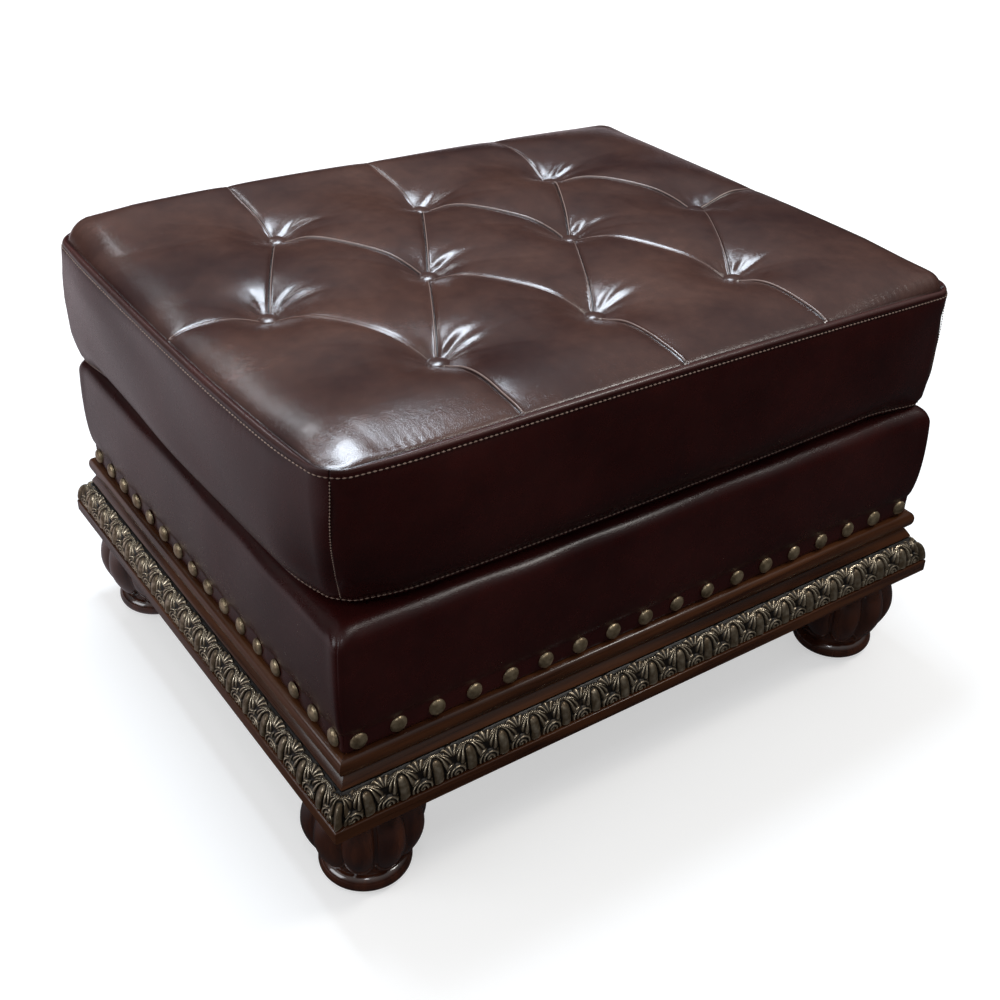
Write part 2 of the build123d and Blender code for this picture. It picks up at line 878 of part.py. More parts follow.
def cushion_form(skin):
    """Crowned, drawn-in and tufted box cushion, a skin's thickness inside the leather."""
    length = cushion_length - 2 * skin
    depth = cushion_depth - 2 * skin
    corner = cushion_corner - skin
    low_seam = bottom_seam + skin
    high_seam = top_seam - skin
    base_draw = 2 * (cushion_draw_in + cushion_curl_inset)
    seam_draw = 2 * cushion_draw_in * wall_draw_shares[-1]
    with BuildPart() as form:
        with BuildSketch(Plane.XY.offset(cushion_base + skin)):
            RectangleRounded(length - base_draw, depth - base_draw, corner)
        with BuildSketch(Plane.XY.offset(low_seam)):
            RectangleRounded(length - 2 * cushion_draw_in, depth - 2 * cushion_draw_in, corner)
        loft(ruled=True)
        for height_share, draw_share in zip(wall_height_shares, wall_draw_shares):
            height = low_seam + height_share * (high_seam - low_seam)
            draw = 2 * draw_share * cushion_draw_in
            with BuildSketch(Plane.XY.offset(height)):
                RectangleRounded(length - draw, depth - draw, corner)
        loft()
        for index in range(len(crown_rise_shares)):
            inset, height = crown_station(index)
            draw = 2 * inset + seam_draw
            with BuildSketch(Plane.XY.offset(height - skin)):
                RectangleRounded(length - draw, depth - draw, corner)
        loft(ruled=True)
        with Locations((0, 0, -skin)):
            add(tufting.part, mode=Mode.SUBTRACT)
    return form.part


# Cushion leather: tufted top, four boxing panels and the bottom
cushion_outside = cushion_form(0)
cushion_inside = cushion_form(leather)
with BuildPart() as cushion_shell:
    add(cushion_outside)
    add(cushion_inside, mode=Mode.SUBTRACT)

wall_length = cushion_length - 2 * boxing_reach
wall_depth = cushion_depth - 2 * boxing_reach
split_height = bottom_seam + cushion_side * boxing_height_share
with BuildPart() as cushion_top_panel:
    add(cushion_shell.part)
    with BuildSketch(Plane.XY.offset(cushion_base - overrun)):
        Rectangle(plinth_length, plinth_depth)
    extrude(amount=split_height - cushion_base + overrun, mode=Mode.SUBTRACT)
    with BuildSketch(Plane.XY.offset(split_height)):
        Rectangle(plinth_length, plinth_depth)
        Rectangle(wall_length, wall_depth, mode=Mode.SUBTRACT)
    extrude(amount=top_seam - split_height, mode=Mode.SUBTRACT)
    with BuildSketch(Plane.XY.offset(split_height)):
        with Locations(*buttons):
            Circle(tie_radius + hole_clearance)
    extrude(amount=crown_top - split_height, mode=Mode.SUBTRACT)
keep(cushion_top_panel, "cushion_top_panel")

with BuildPart() as boxing_ring:
    add(cushion_shell.part)
    with BuildSketch(Plane.XY.offset(bottom_seam)):
        Rectangle(plinth_length, plinth_depth)
        Rectangle(wall_length, wall_depth, mode=Mode.SUBTRACT)
    extrude(amount=cushion_side, mode=Mode.INTERSECT)
for side in sides:
    on_long_side = side.half_run == half_length
    face = cushion_depth / 2 if on_long_side else cushion_length / 2
    half_run = cushion_length / 2 if on_long_side else cushion_depth / 2
    with BuildPart() as boxing:
        add(boxing_ring.part)
        for mitre in mitres(Side(side.name, side.inward, face, half_run)):
            split(bisect_by=mitre, keep=Keep.BOTTOM)
    keep(boxing, f"cushion_boxing_{side.name}")

with BuildPart() as cushion_bottom_panel:
    add(cushion_shell.part)
    with BuildSketch(Plane.XY.offset(cushion_base)):
        Rectangle(plinth_length, plinth_depth)
    extrude(amount=cushion_curl, mode=Mode.INTERSECT)
keep(cushion_bottom_panel, "cushion_bottom_panel")

# Foam core with bores for the button ties and pockets for their toggles
core_base = cushion_base + leather + foam_clearance
with BuildPart() as cushion_foam_core:
    add(cushion_form(leather + foam_clearance))
    with BuildSketch(Plane.XY.offset(core_base)):
        with Locations(*buttons):
            Circle(tie_radius + hole_clearance)
    extrude(amount=crown_top - core_base, mode=Mode.SUBTRACT)
    with BuildSketch(Plane.XY.offset(core_base)):
        with Locations(*buttons):
            Circle(toggle_radius + hole_clearance)
    extrude(amount=toggle_thickness, mode=Mode.SUBTRACT)
keep(cushion_foam_core, "cushion_foam_core")

# Covered buttons, their ties and the toggles under the foam
with BuildPart() as button_blank:
    with BuildSketch(Plane.XZ):
        dome = dome_middle(button_radius, button_crown)
        with BuildLine():
            ThreePointArc(
                (button_radius, button_edge),
                (dome[0], dome[1] + button_edge),
                (0, button_edge + button_crown),
            )
            Polyline(
                (0, button_edge + button_crown),
                (0, 0),
                (button_radius, 0),
                (button_radius, button_edge),
            )
        make_face()
    revolve(axis=Axis.Z)
with BuildPart() as cushion_buttons:
    with Locations(*[(x, y, tuft_floor) for x, y in buttons]):
        add(button_blank.part)
keep(cushion_buttons, "cushion_buttons")

toggle_top = core_base + toggle_thickness
with BuildPart() as button_ties:
    with BuildSketch(Plane.XY.offset(toggle_top)):
        with Locations(*buttons):
            Circle(tie_radius)
    extrude(amount=tuft_floor - toggle_top)
keep(button_ties, "button_ties")

with BuildPart() as tie_toggles:
    with BuildSketch(Plane.XY.offset(core_base)):
        with Locations(*buttons):
            Circle(toggle_radius)
    extrude(amount=toggle_thickness)
keep(tie_toggles, "tie_toggles")
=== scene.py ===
import json
import math
import random
from collections import namedtuple

import bmesh
import bpy
import numpy as np
from mathutils import Matrix, Vector


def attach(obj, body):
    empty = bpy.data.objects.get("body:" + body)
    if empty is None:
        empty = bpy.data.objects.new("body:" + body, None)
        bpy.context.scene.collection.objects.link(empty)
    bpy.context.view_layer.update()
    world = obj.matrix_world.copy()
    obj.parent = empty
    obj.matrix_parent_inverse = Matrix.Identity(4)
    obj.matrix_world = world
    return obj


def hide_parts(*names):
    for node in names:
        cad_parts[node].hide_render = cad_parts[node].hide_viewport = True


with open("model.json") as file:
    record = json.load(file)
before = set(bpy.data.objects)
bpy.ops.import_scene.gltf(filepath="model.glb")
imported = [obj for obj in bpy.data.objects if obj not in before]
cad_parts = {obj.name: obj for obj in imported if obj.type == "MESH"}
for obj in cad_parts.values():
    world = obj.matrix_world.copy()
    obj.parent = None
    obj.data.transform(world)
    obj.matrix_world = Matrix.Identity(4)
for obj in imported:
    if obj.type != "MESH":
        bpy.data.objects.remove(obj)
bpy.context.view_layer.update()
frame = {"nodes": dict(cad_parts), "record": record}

# Leather ottoman table: tufted box cushion, nailed leather box, carved plinth, bun feet.
# Shapes are worked out in millimetres and placed in metres, in the frame's own axes.
to_metres = 0.001

# Table
plinth_length = 780.0
plinth_depth = 644.0
foot_height = 118.0
plinth_top = 196.0
deck_top = 332.9

# Carved band: its face curves back through most of a quarter turn
band_base = 132.7
band_top = 162.4
band_lean = 15.7
band_foot_inset = 0.8
band_back_inset = 20.9
band_curve_share = 0.93
band_curve_turn = 1.4608
band_face_length = 36.4
band_margin = 0.05
ground_sink = 4.0
tongue_pitch = 37.3
tongue_height = 4.0
carving_corner_margin = 36.0
carving_step = 0.8
carving_rows = 52

# Box leather
cover_foot_inset = 23.5
cover_shoulder_inset = 19.5
cover_thickness = 1.4
nail_strip_top = 218.0
cover_edge_radius = 20.0
cover_deck_inset = 62.0
cover_corner_radius = 7.0
cover_belly = 3.4
cover_long_columns = 260
cover_short_columns = 216
deck_margin = 55.0
deck_skirt = 9.0

# Nails
nail_radius = 8.8
nail_crown = 4.6
nail_rim = 1.0
nail_height = 207.0
nail_corner_margin = 16.5
front_nail_count = 18
side_nail_count = 16

# Cushion
cushion_half_length = 385.0
cushion_half_depth = 308.0
seam_inset = 12.5
seam_height = 473.2
crown_height = 25.0
near_crown_height = 27.5
crown_reach = 38.0
tuft_pitch_x = 180.0
tuft_pitch_y = 161.0
tuft_depth = 22.5
tuft_reach = 37.0
button_radius = 12.2
button_crown = 6.2
button_rise = 2.6
leather_step = 1.95
top_seam_corner = 24.0
side_bow = 5.0
corner_lifts = (9.0, -4.0, 5.0, -3.0)
front_lift = 9.0
back_lift = 6.0
corner_droop = 6.5
swell_reach = 52
underside = 333.4

Side = namedtuple("Side", "name inward face half_run")
sides = [
    Side("front", (0, 1), plinth_depth / 2, plinth_length / 2),
    Side("back", (0, -1), plinth_depth / 2, plinth_length / 2),
    Side("left", (1, 0), plinth_length / 2, plinth_depth / 2),
    Side("right", (-1, 0), plinth_length / 2, plinth_depth / 2),
]
buttons = [(step * tuft_pitch_x, row * tuft_pitch_y) for row in (-1, 1) for step in (-1, 0, 1)]
buttons += [(step * tuft_pitch_x / 2, 0.0) for step in (-3, -1, 1, 3)]


# Shape helpers
def smooth(low, high, value):
    """Eased step from 0 at low to 1 at high."""
    share = np.clip((value - low) / (high - low), 0, 1)
    return share * share * (3 - 2 * share)


def bump(distance, width):
    """Rounded ridge of height 1 that falls to about a third at its width."""
    return np.exp(-((distance / width) ** 2))


def ripple(x, y, wave, seed, count=7):
    """Soft irregular swell between about -1 and 1."""
    dice = random.Random(seed)
    total = np.zeros_like(x, dtype=float)
    for _ in range(count):
        turn = dice.uniform(0, math.tau)
        length = wave * dice.uniform(0.6, 1.6)
        phase = dice.uniform(0, math.tau)
        total += np.sin((x * math.cos(turn) + y * math.sin(turn)) * math.tau / length + phase)
    return total / math.sqrt(count)


def sheet(across, along):
    """Flat sheet of squares from -1 to 1 both ways."""
    shape = bmesh.new()
    bmesh.ops.create_grid(shape, x_segments=across, y_segments=along, size=1)
    return shape


def plan(shape):
    """First two coordinates of every vertex."""
    places = np.array([vert.co[:2] for vert in shape.verts])
    return places[:, 0], places[:, 1]


def whole_step(share, count):
    """Number of a row or column, counted from 0 at -1 to the count at 1."""
    return np.round((share + 1) / 2 * count).astype(int)


def two_lists(points):
    """Points given in pairs, as two arrays."""
    return np.array([first for first, _ in points]), np.array([second for _, second in points])


def lean_in(x, y, level):
    """Place after the shown corner is pushed in, more so further up."""
    near = np.exp(-((np.hypot(x + cushion_half_length, y + cushion_half_depth) / 120.0) ** 1.6))
    share = near * (0.4 + 0.6 * smooth(345, 470, level))
    return x + 6.0 * share, y + 4.0 * share


def place(shape, x, y, z):
    """Move every vertex to its place, given in millimetres."""
    places = np.stack([x, y, z], axis=1) * to_metres
    for vert, spot in zip(shape.verts, places.tolist()):
        vert.co = spot


def weld(shape, distance=0.00002):
    """Join the borders and poles that meet."""
    bmesh.ops.remove_doubles(shape, verts=shape.verts, dist=distance)


def close_ends(shape):
    """Fill the open ends."""
    open_edges = [edge for edge in shape.edges if edge.is_boundary]
    bmesh.ops.holes_fill(shape, edges=open_edges, sides=0)


def join(shape, other):
    """Move one shape into another."""
    carrier = bpy.data.meshes.new("carrier")
    other.to_mesh(carrier)
    other.free()
    shape.from_mesh(carrier)
    bpy.data.meshes.remove(carrier)


def paint(shape, name, values):
    """Keep a value for each vertex for the materials to read."""
    layer = shape.verts.layers.float.new(name)
    for vert, value in zip(shape.verts, values.tolist()):
        vert[layer] = value


def on_side(side, along, inset, height):
    """Place on one side: distance along it, depth inward from the plinth face, height."""
    inward_x, inward_y = side.inward
    depth = inset - side.face
    x = inward_x * depth + inward_y * along
    y = inward_y * depth - inward_x * along
    return x, y, height + 0 * x


def make_object(shape, name, material):
    """Turn a shape into an object of the scene."""
    mesh = bpy.data.meshes.new(name)
    shape.to_mesh(mesh)
    shape.free()
    mesh.materials.append(material)
    made = bpy.data.objects.new(name, mesh)
    bpy.context.scene.collection.objects.link(made)
    return made


def finish_piece(shape, name, body, material, stands_for=(), sharp=None):
    """Turn a shape into a named piece that rides on a body."""
    bmesh.ops.recalc_face_normals(shape, faces=shape.faces)
    piece = make_object(shape, name, material)
    piece.data.shade_smooth()
    if sharp is not None:
        piece.data.set_sharp_from_angle(angle=math.radians(sharp))
    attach(piece, body)
    if stands_for:
        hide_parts(*stands_for)
    return piece


def nail_stations(side):
    """Nail positions along a side."""
    on_long_side = side.half_run == plinth_length / 2
    count = front_nail_count if on_long_side else side_nail_count
    reach = side.half_run - cover_foot_inset - nail_corner_margin
    return np.linspace(-reach, reach, count)


# Materials
def feed(tree, node, values):
    """Set or link the inputs of a node."""
    for key, value in values.items():
        if isinstance(value, bpy.types.NodeSocket):
            tree.links.new(value, node.inputs[key])
        else:
            node.inputs[key].default_value = value


def add_node(tree, kind, inputs=None, **settings):
    """New node with its settings, values and links."""
    made = tree.nodes.new(kind)
    for key, value in settings.items():
        setattr(made, key, value)
    feed(tree, made, inputs or {})
    return made


def group_tree(name, inputs, outputs):
    """New shader node group with named inputs and number outputs."""
    tree = bpy.data.node_groups.new(name, "ShaderNodeTree")
    for label, kind, value in inputs:
        socket = tree.interface.new_socket(label, in_out="INPUT", socket_type=kind)
        if value is not None:
            socket.default_value = value
    for label in outputs:
        tree.interface.new_socket(label, in_out="OUTPUT", socket_type="NodeSocketFloat")
    return tree, tree.nodes.new("NodeGroupInput").outputs, tree.nodes.new("NodeGroupOutput")


def use_group(tree, group, inputs):
    """Outputs of a group placed in a material."""
    return add_node(tree, "ShaderNodeGroup", inputs, node_tree=group).outputs


def math_node(tree, operation, first, second):
    """Sum or other arithmetic of two values."""
    made = add_node(tree, "ShaderNodeMath", {0: first, 1: second}, operation=operation)
    return made.outputs["Value"]


def times(tree, first, second):
    """Product of two values."""
    return math_node(tree, "MULTIPLY", first, second)


def opaque(red, green, blue):
    """Colour that lets nothing through."""
    return (red, green, blue, 1.0)


def blend_colour(tree, share, *tints):
    """Mix of two colours, each given as red, green and blue or as another node's output."""
    mix = add_node(tree, "ShaderNodeMix", data_type="RGBA")
    places = [index for index, socket in enumerate(mix.inputs) if socket.type == "RGBA"]
    tints = [tint if isinstance(tint, bpy.types.NodeSocket) else opaque(*tint) for tint in tints]
    feed(tree, mix, {0: share, places[0]: tints[0], places[1]: tints[1]})
    return next(socket for socket in mix.outputs if socket.type == "RGBA")


def spread(tree, value, low, high, to_low=0.0, to_high=1.0):
    """Value rescaled from one range to another, held inside it."""
    ranges = {"From Min": low, "From Max": high, "To Min": to_low, "To Max": to_high}
    return add_node(tree, "ShaderNodeMapRange", {"Value": value} | ranges).outputs["Result"]


def noise(tree, vector, scale, detail, roughness=0.5, distortion=0.0, output="Fac"):
    """Cloudy noise."""
    inputs = {
        "Vector": vector, "Scale": scale, "Detail": detail,
        "Roughness": roughness, "Distortion": distortion,
    }
    return add_node(tree, "ShaderNodeTexNoise", inputs).outputs[output]


def mapped(tree, vector, **settings):
    """Coordinates after they are turned or scaled."""
    inputs = {"Vector": vector} | {key.title(): value for key, value in settings.items()}
    return add_node(tree, "ShaderNodeMapping", inputs).outputs["Vector"]


def painted(tree, name):
    """Value that was painted on the vertices."""
    return add_node(tree, "ShaderNodeAttribute", attribute_name=name).outputs["Fac"]


def leather_grain_group():
    """Pebbled hide: cells, creases between them, and slow changes of tone."""
    tree, entry, leave = group_tree(
        "leather_grain",
        [("Vector", "NodeSocketVector", None), ("Cell", "NodeSocketFloat", 520.0)],
        ["Height", "Crinkle", "Tone", "Scuff"],
    )
    vector = entry["Vector"]
    warp = noise(tree, vector, 140.0, 2.0, output="Color")
    bent = add_node(
        tree, "ShaderNodeVectorMath", {0: warp, 1: (0.003, 0.003, 0.003)}, operation="MULTIPLY"
    )
    moved = add_node(
        tree, "ShaderNodeVectorMath", {0: vector, 1: bent.outputs["Vector"]}, operation="ADD"
    )
    cells = add_node(
        tree, "ShaderNodeTexVoronoi",
        {"Vector": moved.outputs["Vector"], "Scale": entry["Cell"]}, feature="DISTANCE_TO_EDGE",
    )
    pebble = spread(tree, cells.outputs["Distance"], 0.0, 0.22)
    fine = noise(tree, vector, 2600.0, 3.0)
    feed(tree, leave, {
        "Height": math_node(tree, "ADD", times(tree, pebble, 0.8), times(tree, fine, 0.35)),
        "Crinkle": noise(tree, vector, 190.0, 3.0, 0.6, 0.6),
        "Tone": spread(tree, noise(tree, vector, 6.5, 6.0, 0.6), 0.35, 0.65),
        "Scuff": spread(tree, noise(tree, vector, 75.0, 4.0, 0.7), 0.35, 0.7),
    })
    return tree


def wood_grain_group():
    """Long fibres, pores and broad figure; the grain runs along the first axis."""
    tree, entry, leave = group_tree(
        "wood_grain", [("Vector", "NodeSocketVector", None)], ["Figure", "Pores", "Height"]
    )
    long_way = mapped(tree, entry["Vector"], scale=(2.2, 34.0, 34.0))
    figure = noise(tree, long_way, 1.6, 6.0, distortion=0.8)
    fibre = noise(tree, mapped(tree, entry["Vector"], scale=(26.0, 900.0, 900.0)), 1.0, 3.0)
    pores = spread(tree, fibre, 0.56, 0.74)
    feed(tree, leave, {
        "Figure": spread(tree, figure, 0.32, 0.68),
        "Pores": pores,
        "Height": math_node(tree, "SUBTRACT", times(tree, figure, 0.3), pores),
    })
    return tree


def weave_group():
    """Over-and-under cloth from two crossed waves."""
    tree, entry, leave = group_tree(
        "plain_weave",
        [("Vector", "NodeSocketVector", None), ("Threads", "NodeSocketFloat", 500.0)],
        ["Height", "Tone"],
    )
    across, along = (
        add_node(
            tree, "ShaderNodeTexWave",
            {"Vector": entry["Vector"], "Scale": entry["Threads"], "Distortion": 1.5},
            bands_direction=axis,
        ).outputs["Fac"]
        for axis in ("X", "Y")
    )
    feed(tree, leave, {
        "Height": math_node(tree, "MAXIMUM", across, along),
        "Tone": noise(tree, entry["Vector"], 60.0, 5.0),
    })
    return tree


leather_grain = leather_grain_group()
wood_grain = wood_grain_group()
plain_weave = weave_group()


def material_base(name, surface):
    """New material with its tree, shader and object coordinates."""
    material = bpy.data.materials.new(name)
    material.use_nodes = True
    tree = material.node_tree
    shader = tree.nodes["Principled BSDF"]
    feed(tree, shader, surface)
    return material, tree, shader, add_node(tree, "ShaderNodeTexCoord").outputs["Object"]


def relief(tree, height, distance, strength, below=None):
    """Normals of a small relief, on top of another if there is one."""
    inputs = {"Height": height, "Distance": distance, "Strength": strength}
    if below is not None:
        inputs["Normal"] = below
    return add_node(tree, "ShaderNodeBump", inputs).outputs["Normal"]


def leather_material(name, deep, worn, roughness, gloss):
    """Glossy pigmented hide, with painted shade in its seams and crease bottoms and a painted
    highlight on the ridges of its creases.
    """
    material, tree, shader, where = material_base(name, {
        "Specular IOR Level": gloss, "Coat Weight": gloss * 0.6,
        "Coat Roughness": 0.19, "IOR": 1.48,
    })
    grain = use_group(tree, leather_grain, {"Vector": where, "Cell": 520.0})
    base = blend_colour(tree, grain["Tone"], deep, worn)
    scuffed = blend_colour(tree, times(tree, grain["Scuff"], 0.3), base, (0.012, 0.005, 0.005))
    # Painted light and shade: negative values darken towards near black as painted shade, positive
    # values lighten as a painted highlight
    wear_and_painted_light = painted(tree, "wear_and_painted_light")
    with_painted_shade = blend_colour(tree, spread(tree, wear_and_painted_light, 0.0, -1.0), scuffed, (0.004, 0.002, 0.002))
    crinkled = relief(tree, grain["Crinkle"], 0.0006, 0.025)
    feed(tree, shader, {
        # The pale colour is the painted highlight on the crease ridges
        "Base Color": blend_colour(tree, spread(tree, wear_and_painted_light, 0.0, 1.0), with_painted_shade, (0.40, 0.30, 0.26)),
        "Roughness": spread(tree, grain["Scuff"], 0.0, 1.0, roughness, roughness + 0.025),
        "Normal": relief(tree, grain["Height"], 0.00014, 0.45, crinkled),
    })
    return material


def wood_material(name, turn, deep, light, roughness, coat):
    """Stained hardwood; turn lays its grain along the piece."""
    material, tree, shader, where = material_base(name, {
        "Coat Weight": coat, "Coat Roughness": 0.12, "Coat IOR": 1.5 + 0.3 * coat,
        "Specular IOR Level": 0.35,
    })
    grain = use_group(tree, wood_grain, {"Vector": mapped(tree, where, rotation=turn)})
    base = blend_colour(tree, grain["Figure"], deep, light)
    in_pores = [0.3 * part for part in deep]
    feed(tree, shader, {
        "Base Color": blend_colour(tree, times(tree, grain["Pores"], 0.6), base, in_pores),
        "Roughness": spread(tree, grain["Figure"], 0.0, 1.0, roughness, roughness + 0.08),
        "Normal": relief(tree, grain["Height"], 0.00012, 0.22),
    })
    return material


def bronze_material():
    """Gilded carving under a dark glaze that stays in the hollows."""
    material, tree, shader, where = material_base("carved_bronze", {"Specular IOR Level": 0.5})
    wear_and_painted_light = noise(tree, where, 160.0, 5.0)
    lifted = math_node(
        tree, "ADD", painted(tree, "relief"), spread(tree, wear_and_painted_light, 0.3, 0.7, -0.16, 0.16)
    )
    ramp = add_node(tree, "ShaderNodeValToRGB", {"Fac": lifted})
    glaze, gilt = ramp.color_ramp.elements
    glaze.position, glaze.color = 0.1, opaque(0.006, 0.004, 0.003)
    gilt.position, gilt.color = 1.0, opaque(0.85, 0.74, 0.56)
    ramp.color_ramp.elements.new(0.5).color = opaque(0.140, 0.100, 0.060)
    feed(tree, shader, {
        "Base Color": ramp.outputs["Color"],
        "Metallic": spread(tree, lifted, 0.2, 0.6, 0.1, 0.8),
        "Roughness": spread(tree, lifted, 0.2, 1.0, 0.4, 0.24),
        "Normal": relief(tree, wear_and_painted_light, 0.0003, 0.2),
    })
    return material


def metal_material(name, deep, light, roughness, dent, cell, metallic=1.0):
    """Cast or plated metal with dents and tarnish."""
    material, tree, shader, where = material_base(name, {"Metallic": metallic})
    share = spread(tree, noise(tree, where, 120.0, 5.0), 0.35, 0.65)
    dents = add_node(
        tree, "ShaderNodeTexVoronoi", {"Vector": where, "Scale": cell, "Smoothness": 0.6},
        feature="SMOOTH_F1",
    )
    feed(tree, shader, {
        "Base Color": blend_colour(tree, share, deep, light),
        "Roughness": spread(tree, share, 0.0, 1.0, roughness + 0.12, roughness),
        "Normal": relief(tree, dents.outputs["Distance"], dent, 0.6),
    })
    return material


def cloth_material(name, deep, light, threads):
    """Plain woven or matted cloth."""
    material, tree, shader, where = material_base(
        name, {"Roughness": 0.9, "Sheen Weight": 0.2, "Specular IOR Level": 0.25}
    )
    weave = use_group(tree, plain_weave, {"Vector": where, "Threads": threads})
    feed(tree, shader, {
        "Base Color": blend_colour(tree, weave["Tone"], deep, light),
        "Normal": relief(tree, weave["Height"], 0.0004, 0.6),
    })
    return material


def grain_turn(side):
    """Rotation that lays a wood's grain along a side."""
    return (0, 0, 0) if side.inward[0] == 0 else (0, 0, math.pi / 2)


oxblood = leather_material(
    "oxblood_leather", (0.027, 0.0095, 0.0085), (0.074, 0.033, 0.024), 0.2, 0.55
)
# Darker, less glossy copy of the same leather: painted shade for the box sides, the cushion's walls
# and the deck
oxblood_shaded = leather_material(
    "oxblood_leather_shaded", (0.023, 0.0026, 0.0024), (0.042, 0.0070, 0.0060), 0.27, 0.32
)
mahogany = {
    side.name: wood_material(
        f"mahogany_{side.name}", grain_turn(side),
        (0.028, 0.0080, 0.0030), (0.098, 0.033, 0.011), 0.25, 0.2,
    )
    for side in sides
}
mahogany_upright = wood_material(
    "mahogany_turned", (0, math.pi / 2, 0),
    (0.022, 0.0050, 0.0024), (0.080, 0.022, 0.0085), 0.2, 1.0,
)
bronze = bronze_material()
aged_brass = metal_material(
    "aged_brass", (0.20, 0.145, 0.085), (0.50, 0.40, 0.26), 0.3, 0.0005, 330.0, 0.75
)
thread = cloth_material("seam_thread", (0.22, 0.13, 0.10), (0.40, 0.28, 0.22), 900.0)

# Finishes of the frame parts that stay as they are
finishes = {
    "mahogany": mahogany_upright,
    "carved_bronze": bronze,
    "oxblood_leather": oxblood,
    "aged_brass": aged_brass,
    "frame_wood": wood_material(
        "frame_hardwood", (0, 0, 0), (0.36, 0.22, 0.11), (0.58, 0.4, 0.23), 0.6, 0.0
    ),
    "zinc_steel": metal_material(
        "zinc_steel", (0.42, 0.42, 0.4), (0.62, 0.62, 0.6), 0.35, 0.0001, 400.0
    ),
}
# Slot, name, darker and lighter tone, and how fine the threads are
for slot, name, deep, light, threads in (
    ("nylon", "nylon_glide", (0.1, 0.07, 0.05), (0.16, 0.11, 0.08), 1500.0),
    ("webbing", "jute_webbing", (0.2, 0.13, 0.06), (0.4, 0.28, 0.15), 350.0),
    ("hessian", "hessian", (0.28, 0.19, 0.09), (0.5, 0.37, 0.2), 450.0),
    ("felt", "felt_pad", (0.3, 0.28, 0.25), (0.5, 0.47, 0.42), 1800.0),
    ("cambric", "black_cambric", (0.006, 0.006, 0.006), (0.016, 0.016, 0.017), 900.0),
    ("foam", "foam", (0.6, 0.52, 0.33), (0.8, 0.72, 0.5), 2400.0),
    ("twine", "waxed_twine", (0.3, 0.23, 0.13), (0.5, 0.41, 0.27), 1600.0),
    ("toggle", "toggle_plastic", (0.55, 0.52, 0.46), (0.62, 0.6, 0.54), 3000.0),
):
    finishes[slot] = cloth_material(name, deep, light, threads)
node_slots = {entry["node"]: entry["material_slot"] for entry in frame["record"]["subparts"]}
for node_name, node_object in frame["nodes"].items():
    node_object.data.materials.clear()
    node_object.data.materials.append(finishes[node_slots[node_name]])


# Plinth mouldings: fillet, rebate for the carving, roll, cove and thumb bead
def arc_points(centre, radii, start, stop, count):
    """Points of a quarter or half oval, angles in degrees."""
    return [
        (centre[0] + radii[0] * math.cos(angle), centre[1] + radii[1] * math.sin(angle))
        for angle in np.radians(np.linspace(start, stop, count))
    ]


# Depth in from the plinth's face, and height above the feet
moulding_outline = (
    [(44.0, 0.0)]
    + arc_points((1.2, 1.2), (1.2, 1.2), 270, 180, 4)
    + arc_points((1.2, 13.5), (1.2, 1.2), 180, 90, 4)
    + [(21.0, 14.7), (21.0, 44.4), (17.6, 44.4)]
    + [(16.8, 44.8), (16.6, 45.8), (17.3, 47.4), (18.9, 50.0), (20.8, 53.0), (23.2, 56.0)]
    + [(24.8, 57.0), (24.8, 58.2), (22.6, 58.3)]
    + arc_points((21.8, 67.9), (5.6, 9.6), 256, 100, 18)
    + [(22.4, 77.6), (24.0, 78.0), (44.0, 78.0)]
)
moulding_insets, moulding_levels = two_lists(moulding_outline + moulding_outline[:1])
for side in sides:
    moulding = sheet(len(moulding_outline), 1)
    around_share, end = plan(moulding)
    column = whole_step(around_share, len(moulding_outline))
    inset = moulding_insets[column]
    along = end * (side.half_run - inset)
    place(moulding, *on_side(side, along, inset, foot_height + moulding_levels[column]))
    weld(moulding)
    close_ends(moulding)
    run = Vector((side.inward[1], -side.inward[0], 0))
    mitred = [
        edge for edge in moulding.edges
        if abs((edge.verts[0].co - edge.verts[1].co).dot(run)) < side.half_run * to_metres
    ]
    bmesh.ops.bevel(
        moulding, geom=mitred, offset=0.00035, segments=2, profile=0.5,
        affect="EDGES", material=-1, clamp_overlap=True,
    )
    finish_piece(
        moulding, f"moulding_{side.name}", "base", mahogany[side.name],
        [f"plinth_rail_{side.name}"], sharp=32,
    )


